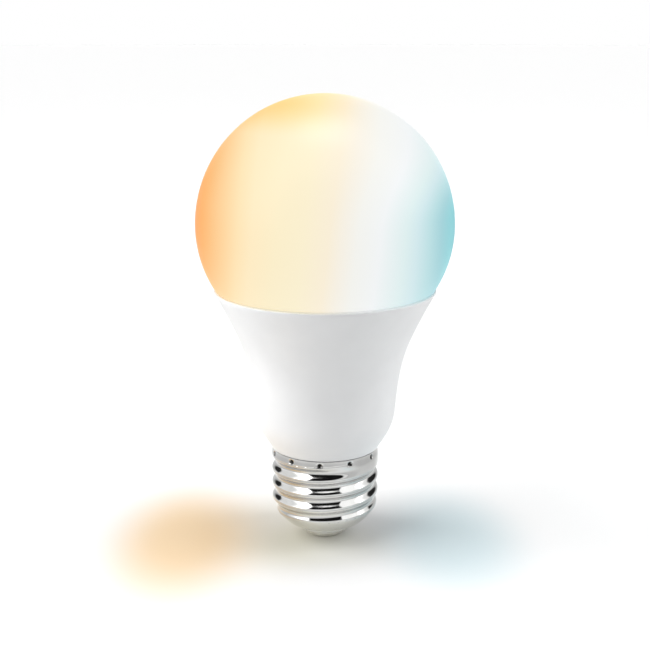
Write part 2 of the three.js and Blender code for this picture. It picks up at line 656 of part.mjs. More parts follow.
// The taped coil around the core's middle leg.
function transformerWinding() {
  const outer = CORE_WINDOW.outer - GAP;
  const innerX = CORE_WINDOW.inner + GAP;
  const innerY = CORE.halfDepth + GAP;
  const loop = rectangle(-outer, -WINDING_HALF_DEPTH, outer, WINDING_HALF_DEPTH);
  loop.holes.push(rectangle(-innerX, -innerY, innerX, innerY));
  const bottom = CORE.bottom + CORE.yoke + GAP;
  const top = CORE.top - CORE.yoke - GAP;
  return plate(loop, bottom, top).translate(0, CORE_Y, 0);
}

// ---------------------------------------------------------------- radio

function radioBoard() {
  const { y, halfThickness, halfWidth, bottom, top } = RADIO_BOARD;
  return block([-halfWidth, y - halfThickness, bottom], [halfWidth, y + halfThickness, top]);
}

function shieldCan() {
  const { halfWidth, depth, bottom, top } = SHIELD_CAN;
  return block([-halfWidth, RADIO_FACE_Y, bottom], [halfWidth, RADIO_FACE_Y + depth, top]);
}

// The meandering trace near the top of the radio board: upright legs, joined by turn at their
// tops and at their feet.
function meanderAntenna() {
  const { legs, pitch, trace, thickness, height, belowTop } = ANTENNA;
  const high = RADIO_BOARD.top - belowTop;
  const low = high - height;
  const left = -(pitch * (legs - 1) + trace) / 2;
  const legAt = (i) => rectangle(left + i * pitch, low, left + i * pitch + trace, high);
  const linkAt = (i) => {
    const x = left + i * pitch;
    const z = i % 2 === 0 ? high - trace : low;
    return rectangle(x, z, x + pitch + trace, z + trace);
  };
  const shapes = [...repeat(legs, legAt), ...repeat(legs - 1, linkAt)];
  return joined(shapes.map((shape) => upright(shape, RADIO_FACE_Y, RADIO_FACE_Y + thickness)));
}

function radioHeader() {
  const { pins, halfWidth, depth, z } = RADIO_HEADER;
  const body = block([-halfWidth, FRONT_Y, z - 1.25], [halfWidth, FRONT_Y + depth, z + 1.25]);
  const pinEnd = RADIO_BOARD.y - RADIO_BOARD.halfThickness - GAP;
  const pinLow = [FRONT_Y + 1, z - PIN_HALF_WIDTH];
  const pinHigh = [pinEnd, z + PIN_HALF_WIDTH];
  return joined([body, ...pinRow(pins, PIN_HALF_WIDTH, pinLow, pinHigh)]);
}

// ---------------------------------------------------------------- the bulb

const casing = assembly(
  piece('diffuser_globe', diffuserGlobe(), 'frostedGlobe'),
  piece('diffuser_sealing_bead', sealingBead(), 'siliconeBead'),
  piece('housing_shell', housingShell(), 'whitePlastic'),
);

const screwBase = assembly(
  piece('screw_shell', screwShell(), 'nickelPlate'),
  piece('base_insulator', baseInsulator(), 'insulator'),
  piece('centre_contact', centreContact(), 'contactPlate'),
);

const lightEngine = assembly(
  piece('heat_sink_cup', heatSinkCup(), 'aluminium'),
  piece('thermal_pad', drilledDisc(PAD_RADIUS, PAD_BOTTOM_Z, PAD_TOP_Z), 'thermalPad'),
  piece(
    'led_board', drilledDisc(LED_BOARD_RADIUS, LED_BOARD_BOTTOM_Z, LED_BOARD_TOP_Z), 'whiteMask',
  ),
  ...ledBank('warm_led', Math.PI, 'warmPhosphor'),
  ...ledBank('cool_led', 0, 'coolPhosphor'),
  piece('board_screw_left', boardScrew(-SCREW.x), 'steel'),
  piece('board_screw_right', boardScrew(SCREW.x), 'steel'),
  piece('led_socket', ledSocket(), 'creamNylon'),
);

const driver = assembly(
  piece('insulating_sleeve', insulatingSleeve(), 'creamNylon'),
  piece('driver_board', driverBoard(), 'greenMask'),
  piece('bulk_capacitor', canCapacitor(BULK_CAPACITOR), 'capacitorSleeve'),
  piece('output_capacitor', canCapacitor(OUTPUT_CAPACITOR), 'capacitorSleeve'),
  piece('film_capacitor', frontBlock(FILM_CAPACITOR), 'filmCase'),
  piece('fusible_resistor', fusibleResistor(), 'resistorCoat'),
  piece('varistor', varistor(), 'varistorCoat'),
  piece('choke_core', chokeCore(), 'ferrite'),
  piece('choke_winding', chokeWinding(), 'copper'),
  piece('transformer_core', transformerCore(), 'ferrite'),
  piece('transformer_winding', transformerWinding(), 'polyesterTape'),
  piece('bridge_rectifier', backBlock(BRIDGE_RECTIFIER), 'blackEpoxy'),
  piece('controller_chip', backBlock(CONTROLLER_CHIP), 'blackEpoxy'),
  piece('output_diode', backBlock(OUTPUT_DIODE), 'blackEpoxy'),
  piece('led_header', ledHeader(), 'blackNylon'),
);

const radio = assembly(
  piece('radio_board', radioBoard(), 'blueMask'),
  piece('radio_shield_can', shieldCan(), 'tinnedCan'),
  piece('radio_antenna', meanderAntenna(), 'goldPlate'),
  piece('radio_header', radioHeader(), 'blackNylon'),
);

const leads = assembly(
  piece('live_lead', wire(LIVE_ROUTE), 'redWire'),
  piece('neutral_lead', wire(NEUTRAL_ROUTE), 'whiteWire'),
);

const bulb = assembly(casing, screwBase, lightEngine, driver, radio, leads);
bulb.name = 'smart_light_bulb';

export default bulb;
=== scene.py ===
"""Looks of a smart light bulb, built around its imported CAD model.

Metres. +Z runs up the bulb's axis from the face of its centre contact, -Y is the front, and the
warm LEDs are on the -X side. Sizes in the classes are in millimetres, as in the CAD source.
"""

from __future__ import annotations

import logging
import math
from collections.abc import Callable, Iterable, Mapping, Sequence
from dataclasses import dataclass, field
from enum import Enum

import bmesh
import bpy
from mathutils import Matrix, Vector


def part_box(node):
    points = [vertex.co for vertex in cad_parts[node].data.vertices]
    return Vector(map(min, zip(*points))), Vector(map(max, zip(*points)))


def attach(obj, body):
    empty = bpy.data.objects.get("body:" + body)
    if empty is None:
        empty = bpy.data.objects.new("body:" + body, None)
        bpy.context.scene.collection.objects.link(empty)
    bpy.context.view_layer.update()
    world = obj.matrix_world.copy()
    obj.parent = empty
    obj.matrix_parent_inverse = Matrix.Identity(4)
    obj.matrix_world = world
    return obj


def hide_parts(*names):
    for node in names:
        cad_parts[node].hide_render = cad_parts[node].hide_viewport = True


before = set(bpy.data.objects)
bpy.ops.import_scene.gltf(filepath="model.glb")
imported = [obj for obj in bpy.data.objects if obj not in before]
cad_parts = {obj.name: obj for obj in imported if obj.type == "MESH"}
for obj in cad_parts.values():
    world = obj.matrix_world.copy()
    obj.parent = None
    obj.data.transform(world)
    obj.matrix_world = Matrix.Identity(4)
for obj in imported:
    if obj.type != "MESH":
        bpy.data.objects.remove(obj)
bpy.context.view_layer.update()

MM = 0.001
BODY = "root"
LOG = logging.getLogger("light_bulb")

Outline = list[tuple[float, float]]
Corner = tuple[float, float, float]
Colour = tuple[float, float, float, float]


# ------------------------------------------------------------------ nodes and colours


def linear(code: str) -> Colour:
    """Turns an sRGB hex colour into linear light.

    Args:
        code: Six hex digits.

    Returns:
        Red, green, blue and an alpha of 1.
    """
    parts = [int(code[i : i + 2], 16) / 255 for i in (0, 2, 4)]
    light = [p / 12.92 if p <= 0.04045 else ((p + 0.055) / 1.055) ** 2.4 for p in parts]
    return (light[0], light[1], light[2], 1.0)


def add_node(
    tree: bpy.types.NodeTree,
    kind: str,
    settings: Mapping[str, object] | None = None,
    inputs: Mapping[str | int, object] | None = None,
) -> bpy.types.Node:
    """Adds a node with its settings and links.

    Args:
        tree: The tree that gets it.
        kind: Blender's own name for that sort of node.
        settings: Its properties.
        inputs: For each input, a value or the output socket that feeds it.

    Returns:
        The node.
    """
    node = tree.nodes.new(kind)
    for name, value in (settings or {}).items():
        setattr(node, name, value)
    for key, value in (inputs or {}).items():
        if isinstance(value, bpy.types.NodeSocket):
            tree.links.new(value, node.inputs[key])
        else:
            node.inputs[key].default_value = value
    return node


def fill_ramp(node: bpy.types.Node, stops: Sequence[tuple[float, Colour]]) -> None:
    """Gives a Color Ramp node its stops.

    Args:
        node: The ramp.
        stops: Each stop's place from 0 to 1, and its colour.
    """
    elements = node.color_ramp.elements
    while len(elements) < len(stops):
        elements.new(0.5)
    for element, (place, colour) in zip(elements, stops):
        element.position = place
        element.color = colour


# ------------------------------------------------------------------ finishes


@dataclass(frozen=True)
class Finish:
    """A surface with a fine grain, slow changes of shade and an uneven gloss.

    The grain and the drift are noise in the piece's own Object coordinates.
    """

    name: str
    colour: str
    shade: str
    roughness: float
    uneven: float = 0.04
    grain_mm: float = 0.4
    relief_mm: float = 0.01
    drift_mm: float = 9.0
    metallic: float = 0.0
    ior: float = 1.5
    coat: float = 0.0
    coat_roughness: float = 0.1
    specular: float = 0.5
    stretch: tuple[float, float, float] = (1.0, 1.0, 1.0)
    octave_roughness: float = 0.55
    shade_range: tuple[float, float] = (0.3, 0.7)
    gloss_range: tuple[float, float] = (0.25, 0.75)
    gloss_blotch: float = 0.4
    least_roughness: float = 0.02

    def material(self) -> bpy.types.Material:
        """Builds the material, or returns the one built before.

        Returns:
            The material.
        """
        known = bpy.data.materials.get(self.name)
        if known is not None:
            return known
        made = bpy.data.materials.new(self.name)
        made.use_nodes = True
        made.diffuse_color = linear(self.colour)
        made.node_tree.nodes.clear()
        self.wire(made.node_tree)
        return made

    def wire(self, tree: bpy.types.NodeTree) -> None:
        """Fills the material's tree.

        Args:
            tree: The empty tree.
        """
        shader = self.shader(tree)
        tree.links.new(self.base_colour(tree), shader.inputs["Base Color"])
        tree.links.new(self.gloss(tree), shader.inputs["Roughness"])
        tree.links.new(self.relief(tree), shader.inputs["Normal"])
        add_node(tree, "ShaderNodeOutputMaterial", inputs={"Surface": shader.outputs[0]})

    def shader(self, tree: bpy.types.NodeTree) -> bpy.types.Node:
        """Adds the Principled shader, with what is the same all over the surface.

        Args:
            tree: The material's tree.

        Returns:
            The shader node.
        """
        values: dict[str | int, object] = {"Metallic": self.metallic}
        if self.metallic == 0:
            values["IOR"] = self.ior
            values["Specular IOR Level"] = self.specular
        if self.coat > 0:
            values["Coat Weight"] = self.coat
            values["Coat Roughness"] = self.coat_roughness
        return add_node(tree, "ShaderNodeBsdfPrincipled", inputs=values)

    def noise(
        self, tree: bpy.types.NodeTree, size_mm: float, detail: float = 2.0
    ) -> bpy.types.NodeSocket:
        """Adds noise whose blotches have a real size.

        Args:
            tree: The material's tree.
            size_mm: How far apart the blotches are.
            detail: How many finer layers it holds.

        Returns:
            The noise as a value about 0.5.
        """
        place = add_node(tree, "ShaderNodeTexCoord")
        turned = add_node(
            tree,
            "ShaderNodeMapping",
            inputs={"Vector": place.outputs["Object"], "Scale": self.stretch},
        )
        made = add_node(
            tree,
            "ShaderNodeTexNoise",
            inputs={
                "Vector": turned.outputs[0],
                "Scale": 1 / (size_mm * MM),
                "Detail": detail,
                "Roughness": self.octave_roughness,
            },
        )
        return made.outputs["Fac"]

    def base_colour(self, tree: bpy.types.NodeTree) -> bpy.types.NodeSocket:
        """Mixes the colour with its shade, in slow drifts with a little of the grain.

        Args:
            tree: The material's tree.

        Returns:
            The colour.
        """
        spread = add_node(
            tree,
            "ShaderNodeMapRange",
            inputs={
                "Value": self.noise(tree, self.drift_mm),
                "From Min": self.shade_range[0],
                "From Max": self.shade_range[1],
            },
        )
        mixed = add_node(
            tree,
            "ShaderNodeMix",
            {"data_type": "RGBA"},
            {0: spread.outputs[0], 6: linear(self.colour), 7: linear(self.shade)},
        )
        return mixed.outputs[2]

    def gloss(self, tree: bpy.types.NodeTree) -> bpy.types.NodeSocket:
        """Lets the roughness wander about its value.

        Args:
            tree: The material's tree.

        Returns:
            The roughness.
        """
        made = add_node(
            tree,
            "ShaderNodeMapRange",
            inputs={
                "Value": self.noise(tree, self.drift_mm * self.gloss_blotch),
                "From Min": self.gloss_range[0],
                "From Max": self.gloss_range[1],
                "To Min": max(self.roughness - self.uneven, self.least_roughness),
                "To Max": min(self.roughness + self.uneven, 1.0),
            },
        )
        return made.outputs[0]

    def relief(self, tree: bpy.types.NodeTree) -> bpy.types.NodeSocket:
        """Raises the grain.

        Args:
            tree: The material's tree.

        Returns:
            The bent normal.
        """
        made = add_node(
            tree,
            "ShaderNodeBump",
            inputs={
                "Strength": 1.0,
                "Distance": self.relief_mm * MM,
                "Height": self.noise(tree, self.grain_mm, 3.0),
            },
        )
        return made.outputs[0]


@dataclass(frozen=True)
class DentShadedSheet(Finish):
    """Plated sheet with the dents of a staking punch, and shade painted dark into each dent."""

    mark: str = "punched"
    # the colour of the shade painted into the crimp dents
    bare: str = "2B2A29"

    def base_colour(self, tree: bpy.types.NodeTree) -> bpy.types.NodeSocket:
        """Paints shade into the plating where the sheet's own attribute marks a crimp dent.

        Args:
            tree: The material's tree.

        Returns:
            The colour.
        """
        punched = add_node(tree, "ShaderNodeAttribute", {"attribute_name": self.mark})
        mixed = add_node(
            tree,
            "ShaderNodeMix",
            {"data_type": "RGBA"},
            {0: punched.outputs["Fac"], 6: super().base_colour(tree), 7: linear(self.bare)},
        )
        return mixed.outputs[2]


@dataclass(frozen=True)
class LitDiffuser(Finish):
    """Milky polycarbonate that glows: amber on one side, cool white and cyan on the other."""

    half_width_mm: float = 30.25
    centre_z_mm: float = 77.25
    lean: float = 0.12
    cool_fall: float = 0.3
    # painted shade: the warm side's colour deepens toward the crown, for the deeper tone at the lit
    # globe's upper rim
    crown_shade: tuple[float, float] = (0.72, 1.0)
    crown_shade_depth: float = 1.6
    foot_pale: float = 0.04
    cool_rise: tuple[float, float] = (0.1, 0.65)
    warm_reach: tuple[float, float] = (0.5, -0.35)
    foot_reach: tuple[float, float] = (0.0, -0.5)
    wander_mm: float = 26.0
    wander: float = 0.03
    own_light: float = 0.9
    tint: float = 0.08
    stops: tuple[tuple[float, str], ...] = ()

    def wire(self, tree: bpy.types.NodeTree) -> None:
        """Fills the tree: one gradient feeds both the plastic and its light.

        Args:
            tree: The empty tree.
        """
        glow = self.gradient(tree)
        dyed = add_node(
            tree,
            "ShaderNodeMix",
            {"data_type": "RGBA", "blend_type": "MULTIPLY"},
            {0: 1.0, 6: glow, 7: (self.tint, self.tint, self.tint, 1.0)},
        )
        shader = self.shader(tree)
        shader.inputs["Emission Strength"].default_value = self.own_light
        tree.links.new(dyed.outputs[2], shader.inputs["Base Color"])
        tree.links.new(glow, shader.inputs["Emission Color"])
        tree.links.new(self.gloss(tree), shader.inputs["Roughness"])
        tree.links.new(self.relief(tree), shader.inputs["Normal"])
        add_node(tree, "ShaderNodeOutputMaterial", inputs={"Surface": shader.outputs[0]})

    def gradient(self, tree: bpy.types.NodeTree) -> bpy.types.NodeSocket:
        """Runs the colours across the globe, with a slight wander where they meet.

        Args:
            tree: The material's tree.

        Returns:
            The colour of the light.
        """
        place = add_node(tree, "ShaderNodeTexCoord").outputs["Object"]
        apart = add_node(tree, "ShaderNodeSeparateXYZ", inputs={0: place})
        half, centre = self.half_width_mm * MM, self.centre_z_mm * MM
        wander = self.noise(tree, self.wander_mm, 0.0)
        known = {"x": apart.outputs[0], "z": apart.outputs[2], "wander": wander}
        steps = [
            ("across", "DIVIDE", "x", half),
            ("risen", "SUBTRACT", "z", centre),
            ("height", "DIVIDE", "risen", half),
            ("squared", "MULTIPLY", "across", "across"),
            ("inwards", "SUBTRACT", 1.0, "squared"),
            ("tilt", "MULTIPLY", "height", "inwards"),
            ("tilted", "MULTIPLY_ADD", "tilt", -self.lean, "across"),
            ("right", "MAXIMUM", "tilted", 0.0),
        ]
        sums = do_sums(tree, steps, known)
        sums["high"] = ease(tree, sums["height"], *self.cool_rise)
        sums["crown_shade"] = ease(tree, sums["height"], *self.crown_shade)
        sums["warm_side"] = ease(tree, sums["across"], *self.warm_reach)
        sums["foot"] = ease(tree, sums["height"], *self.foot_reach)
        steps = [
            ("held", "MULTIPLY", "right", "high"),
            ("pulled", "MULTIPLY_ADD", "held", -self.cool_fall, "tilted"),
            ("moved", "MULTIPLY_ADD", "wander", self.wander, "pulled"),
            ("place", "MULTIPLY_ADD", "moved", 0.5, 0.5 - self.wander / 4),
            # painted shade: deepens the warm colour toward the crown
            ("amber", "MULTIPLY", "crown_shade", "warm_side"),
            ("deep", "MULTIPLY_ADD", "amber", self.crown_shade_depth, 1.0),
            ("gamma", "MULTIPLY_ADD", "foot", -self.foot_pale, "deep"),
        ]
        sums = do_sums(tree, steps, sums)
        ramp = add_node(tree, "ShaderNodeValToRGB", inputs={"Fac": sums["place"]})
        fill_ramp(ramp, [((place + 1) / 2, linear(code)) for place, code in self.stops])
        deepened = add_node(
            tree, "ShaderNodeGamma", inputs={"Color": ramp.outputs[0], "Gamma": sums["gamma"]}
        )
        return deepened.outputs[0]


@dataclass(frozen=True)
class Palette:
    """Every finish of the bulb, each named for the real material and how it was made."""

    # Milky polycarbonate, injection moulded and lit from inside: soft colour, a dull gloss
    globe: LitDiffuser = LitDiffuser(
        "milky_polycarbonate_lit",
        "FDF4E4",
        "F8EFE0",
        0.36,
        uneven=0.03,
        grain_mm=0.5,
        relief_mm=0.004,
        ior=1.585,
        specular=0.12,
        stops=(
            (-1.0, "EE9A4E"),
            (-0.9, "FBB266"),
            (-0.81, "FBC687"),
            (-0.716, "FED7A0"),
            (-0.625, "FFE5B6"),
            (-0.53, "FFECC4"),
            (-0.35, "FDF0CC"),
            (-0.16, "FDF2D2"),
            (0.02, "FCF1DA"),
            (0.11, "F9F3E6"),
            (0.22, "F6F6F1"),
            (0.387, "F4F7F8"),
            (0.57, "E0F1F1"),
            (0.66, "D3EAEE"),
            (0.755, "BCE0E4"),
            (0.847, "A2D2D9"),
            (0.94, "88CED5"),
            (1.0, "70BEC7"),
        ),
    )
    # Polybutylene terephthalate, injection moulded in a finely etched tool: white satin
    housing: Finish = Finish(
        "moulded_pbt_white", "ECEDEE", "E8E9EA", 0.38, grain_mm=0.45, relief_mm=0.006, ior=1.57
    )
    # Silicone, laid as a bead and cured: soft, dull, faintly wavy
    silicone: Finish = Finish(
        "cured_silicone", "ECEAE4", "E2DFD8", 0.62, grain_mm=1.2, relief_mm=0.05, ior=1.41
    )
    # Aluminium sheet, rolled and nickel plated: a bright mirror with a faint haze, and painted shade
    # in the dents where it was staked to the neck
    shell: DentShadedSheet = DentShadedSheet(
        "nickel_plated_sheet",
        "D8D8D7",
        "CECECC",
        0.09,
        uneven=0.03,
        grain_mm=0.7,
        relief_mm=0.004,
        drift_mm=5.0,
        metallic=1.0,
    )
    # Steatite-filled plastic, pressed: pale grey, close-grained, dull
    insulator: Finish = Finish(
        "pressed_insulator_plastic", "E6E6E3", "DBDCD9", 0.5, grain_mm=0.35, relief_mm=0.012
    )
    # Brass disc, stamped and nickel plated: satin metal with fine handling marks
    contact: Finish = Finish(
        "nickel_plated_brass",
        "E4E3E0",
        "D3D1CB",
        0.38,
        uneven=0.06,
        grain_mm=0.3,
        relief_mm=0.006,
        drift_mm=2.5,
        metallic=1.0,
    )
    # Aluminium, deep drawn: grey satin with faint draw lines up its wall
    aluminium: Finish = Finish(
        "drawn_aluminium",
        "B9BCC0",
        "A9ACB0",
        0.42,
        uneven=0.06,
        grain_mm=0.5,
        relief_mm=0.01,
        metallic=1.0,
        stretch=(1.0, 1.0, 0.2),
    )
    # Filled silicone sheet, calendered: blue-grey, dull, granular
    thermal_pad: Finish = Finish(
        "filled_silicone_pad", "9AA7B5", "8795A4", 0.82, grain_mm=0.3, relief_mm=0.03, ior=1.42
    )
    # White solder mask, screen printed and baked: glossy paint with fine orange peel
    white_mask: Finish = Finish(
        "white_solder_mask", "F0F0EA", "E6E6DF", 0.36, grain_mm=0.6, relief_mm=0.01, coat=0.3
    )
    # Green solder mask over a glass-cloth board
    green_mask: Finish = Finish(
        "green_solder_mask", "1F6B43", "175636", 0.34, grain_mm=0.6, relief_mm=0.012, coat=0.4
    )
    # Blue solder mask over a glass-cloth board
    blue_mask: Finish = Finish(
        "blue_solder_mask", "1D3F7A", "163266", 0.34, grain_mm=0.6, relief_mm=0.012, coat=0.4
    )
    # Silicone filled with amber phosphor, dispensed into its cup: soft and grainy
    warm_phosphor: Finish = Finish(
        "amber_phosphor_gel", "F2A640", "E8932A", 0.3, grain_mm=0.12, relief_mm=0.008, ior=1.41
    )
    # Silicone filled with yellow phosphor, dispensed into its cup: soft and grainy
    cool_phosphor: Finish = Finish(
        "yellow_phosphor_gel", "F1EA9A", "E6DC7C", 0.3, grain_mm=0.12, relief_mm=0.008, ior=1.41
    )
    # Polyphthalamide frame of an LED, moulded: bright white, matt
    led_frame: Finish = Finish(
        "moulded_ppa_white", "F6F5F0", "ECEAE3", 0.45, grain_mm=0.15, relief_mm=0.004
    )
    # Steel, cold headed and zinc plated: bluish satin
    steel: Finish = Finish(
        "zinc_plated_steel",
        "B4B6B8",
        "A3A6AA",
        0.3,
        uneven=0.08,
        grain_mm=0.25,
        relief_mm=0.008,
        drift_mm=1.5,
        metallic=1.0,
    )
    # Tin plate, stamped: pale metal, slightly cloudy
    tin_plate: Finish = Finish(
        "tin_plated_steel",
        "C6C8C9",
        "B6B8BA",
        0.3,
        uneven=0.08,
        grain_mm=0.4,
        relief_mm=0.006,
        drift_mm=3.0,
        metallic=1.0,
    )
    # Copper wire under clear enamel, wound: warm metal with a varnish gloss
    copper: Finish = Finish(
        "enamelled_copper",
        "B96F3D",
        "A65C2C",
        0.32,
        grain_mm=0.2,
        relief_mm=0.004,
        drift_mm=1.5,
        metallic=1.0,
        coat=0.5,
    )
    # Copper trace, gold plated: yellow satin
    gold: Finish = Finish(
        "gold_plated_copper",
        "D8AD55",
        "C99B43",
        0.28,
        grain_mm=0.2,
        relief_mm=0.004,
        drift_mm=1.5,
        metallic=1.0,
    )
    # Epoxy compound, transfer moulded: charcoal, matt, fine grit
    epoxy: Finish = Finish(
        "moulded_black_epoxy", "1C1D1F", "27282B", 0.56, grain_mm=0.12, relief_mm=0.01
    )
    # Polyester sleeve, heat shrunk over a can: near black, glossy, drawn tight
    sleeve_film: Finish = Finish(
        "shrunk_polyester_sleeve", "20252B", "2B323A", 0.3, grain_mm=0.8, relief_mm=0.012
    )
    # Epoxy-filled polypropylene case: mustard, waxy
    film_case: Finish = Finish(
        "dipped_mustard_epoxy", "C9A227", "B8901B", 0.42, grain_mm=0.9, relief_mm=0.03
    )
    # Epoxy powder coat, dipped: blue, lumpy gloss
    varistor_coat: Finish = Finish(
        "dipped_blue_epoxy", "2C56A8", "234890", 0.36, grain_mm=0.9, relief_mm=0.04, coat=0.3
    )
    # Silicone cement, dipped: grey-green, chalky
    resistor_coat: Finish = Finish(
        "resistor_cement", "6F8F6A", "61805C", 0.6, grain_mm=0.5, relief_mm=0.03
    )
    # Ferrite, pressed and sintered: dark grey, matt, gritty
    ferrite: Finish = Finish(
        "sintered_ferrite", "3A3A3D", "303033", 0.7, grain_mm=0.2, relief_mm=0.02, ior=2.0
    )
    # Polyester tape, wound: yellow, smooth, slightly rippled
    tape: Finish = Finish(
        "polyester_tape",
        "E0B93A",
        "D2A928",
        0.34,
        grain_mm=1.4,
        relief_mm=0.03,
        stretch=(1.0, 1.0, 3.0),
    )
    # Glass-filled nylon, moulded, black: matt with flow marks
    black_nylon: Finish = Finish(
        "moulded_nylon_black", "17181A", "202124", 0.5, grain_mm=0.3, relief_mm=0.01
    )
    # Nylon, moulded, natural cream: waxy
    cream_nylon: Finish = Finish(
        "moulded_nylon_cream", "EFE8D4", "E5DCC5", 0.46, grain_mm=0.4, relief_mm=0.008
    )
    # Thin polypropylene, blow moulded: translucent white, uneven gloss
    sleeve_nylon: Finish = Finish(
        "blown_polypropylene", "E9EAE8", "DFE1DF", 0.4, uneven=0.08, grain_mm=1.5, relief_mm=0.02
    )
    # Ink, printed on a sleeve or a coat: thin, matt, slightly broken at the grain
    stripe_ink: Finish = Finish(
        "printed_grey_ink", "9AA3AA", "8C959C", 0.5, grain_mm=0.3, relief_mm=0.006
    )
    brown_ink: Finish = Finish(
        "printed_brown_ink", "6B3A1E", "5B2F17", 0.5, grain_mm=0.3, relief_mm=0.006
    )
    black_ink: Finish = Finish(
        "printed_black_ink", "1A1A1A", "242424", 0.5, grain_mm=0.3, relief_mm=0.006
    )
    # PVC insulation, extruded, red
    red_wire: Finish = Finish(
        "extruded_pvc_red", "B3272A", "A01F22", 0.42, grain_mm=0.3, relief_mm=0.008, ior=1.53
    )
    # PVC insulation, extruded, white
    white_wire: Finish = Finish(
        "extruded_pvc_white", "E6E6E2", "DBDBD6", 0.42, grain_mm=0.3, relief_mm=0.008, ior=1.53
    )


PALETTE = Palette()


# ------------------------------------------------------------------ mesh helpers


def keep_piece(
    piece: bpy.types.Object, finish: Finish | None, nodes: Iterable[str]
) -> bpy.types.Object:
    """Dresses a finished piece and puts it in the place of CAD nodes.

    Args:
        piece: The piece.
        finish: Its finish, or None where the mesh has its materials already.
        nodes: The CAD nodes that it stands for.

    Returns:
        The piece.
    """
    if finish is not None:
        piece.data.materials.clear()
        piece.data.materials.append(finish.material())
    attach(piece, BODY)
    if nodes:
        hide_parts(*nodes)
    LOG.info("%s: %d faces, for %s", piece.name, len(piece.data.polygons), list(nodes))
    return piece


def from_bmesh(name: str, work: bmesh.types.BMesh, sharp_deg: float = 35.0) -> bpy.types.Object:
    """Turns a work mesh into a smooth-shaded object with its faces outwards.

    Args:
        name: The object's name.
        work: The work mesh, which is freed.
        sharp_deg: Edges that turn more than this stay crisp.

    Returns:
        The object.
    """
    bmesh.ops.remove_doubles(work, verts=work.verts, dist=1e-7)
    bmesh.ops.recalc_face_normals(work, faces=work.faces)
    mesh = bpy.data.meshes.new(name)
    work.to_mesh(mesh)
    work.free()
    mesh.shade_smooth()
    mesh.set_sharp_from_angle(angle=math.radians(sharp_deg))
    made = bpy.data.objects.new(name, mesh)
    bpy.context.scene.collection.objects.link(made)
    return made


def rounded(corners: Sequence[Corner], steps: int = 6) -> Outline:
    """Rounds the corners of a closed outline.

    Args:
        corners: Each corner's radius from the axis, height and rounding, all in millimetres.
        steps: How many edges each rounding has.

    Returns:
        The outline's points.
    """
    points: Outline = []
    for i, (r, z, rounding) in enumerate(corners):
        if rounding <= 0:
            points.append((r, z))
            continue
        here = Vector((r, z))
        before = (Vector(corners[i - 1][:2]) - here).normalized()
        after = (Vector(corners[(i + 1) % len(corners)][:2]) - here).normalized()
        half = before.angle(after) / 2
        reach = rounding / math.tan(half)
        start, end = here + before * reach, here + after * reach
        for k in range(steps + 1):
            t = k / steps
            # a conic through both ends, close enough to an arc at these sizes
            weight = math.sin(half)
            a, b, c = (1 - t) ** 2, 2 * t * (1 - t) * weight, t * t
            point = (start * a + here * b + end * c) / (a + b + c)
            points.append((point.x, point.y))
    return points


def bezier(ends: Sequence[tuple[float, float]], steps: int) -> Outline:
    """Samples a cubic curve.

    Args:
        ends: Its start, two control points and end.
        steps: How many edges it gets.

    Returns:
        Its points after the start.
    """
    a, b, c, d = (Vector(p) for p in ends)
    points: Outline = []
    for k in range(1, steps + 1):
        t = k / steps
        s = 1 - t
        point = a * s**3 + b * (3 * s * s * t) + c * (3 * s * t * t) + d * t**3
        points.append((point.x, point.y))
    return points


def revolve(
    name: str,
    outline: Outline,
    segments: int,
    sharp_deg: float = 35.0,
    centre: tuple[float, float, float] = (0.0, 0.0, 0.0),
    turn: Matrix | None = None,
) -> bpy.types.Object:
    """Turns a closed outline about the bulb's axis, or about another one.

    Args:
        name: The object's name.
        outline: Radius and height of each point, in millimetres. It closes on itself.
        segments: How many steps go round.
        sharp_deg: Edges that turn more than this stay crisp.
        centre: Where the outline's own origin goes.
        turn: How its axis is turned from +Z, if it is.

    Returns:
        The object.
    """
    work = bmesh.new()
    rings: list[list[bmesh.types.BMVert]] = []
    for r, z in outline:
        if r < 1e-6:
            rings.append([work.verts.new((0, 0, z * MM))])
            continue
        angles = (2 * math.pi * k / segments for k in range(segments))
        rings.append(
            [work.verts.new((r * MM * math.cos(a), r * MM * math.sin(a), z * MM)) for a in angles]
        )
    for lower, upper in zip(rings, rings[1:] + rings[:1]):
        if len(lower) == 1 and len(upper) == 1:
            continue
        for k in range(segments):
            n = (k + 1) % segments
            around = [
                lower[k % len(lower)],
                lower[n % len(lower)],
                upper[n % len(upper)],
                upper[k % len(upper)],
            ]
            work.faces.new(list(dict.fromkeys(around)))
    place = Matrix.Translation(Vector(centre) * MM) @ (turn or Matrix())
    bmesh.ops.transform(work, matrix=place, verts=work.verts)
    return from_bmesh(name, work, sharp_deg)


def run_tree(name: str, tree: bpy.types.NodeTree, values: Mapping[str, object]) -> bpy.types.Object:
    """Runs a tree of geometry nodes and keeps what it makes as a plain mesh.

    Args:
        name: The object's name.
        tree: The geometry nodes.
        values: The tree's named inputs.

    Returns:
        The object, without its modifier.
    """
    made = bpy.data.objects.new(name, bpy.data.meshes.new(name))
    bpy.context.scene.collection.objects.link(made)
    modifier = made.modifiers.new(name, "NODES")
    modifier.node_group = tree
    for item in tree.interface.items_tree:
        if item.item_type == "SOCKET" and item.in_out == "INPUT" and item.name in values:
            modifier[item.identifier] = values[item.name]
    graph = bpy.context.evaluated_depsgraph_get()
    graph.update()
    mesh = bpy.data.meshes.new_from_object(made.evaluated_get(graph))
    made.modifiers.remove(modifier)
    made.data = mesh
    mesh.name = name
    return made


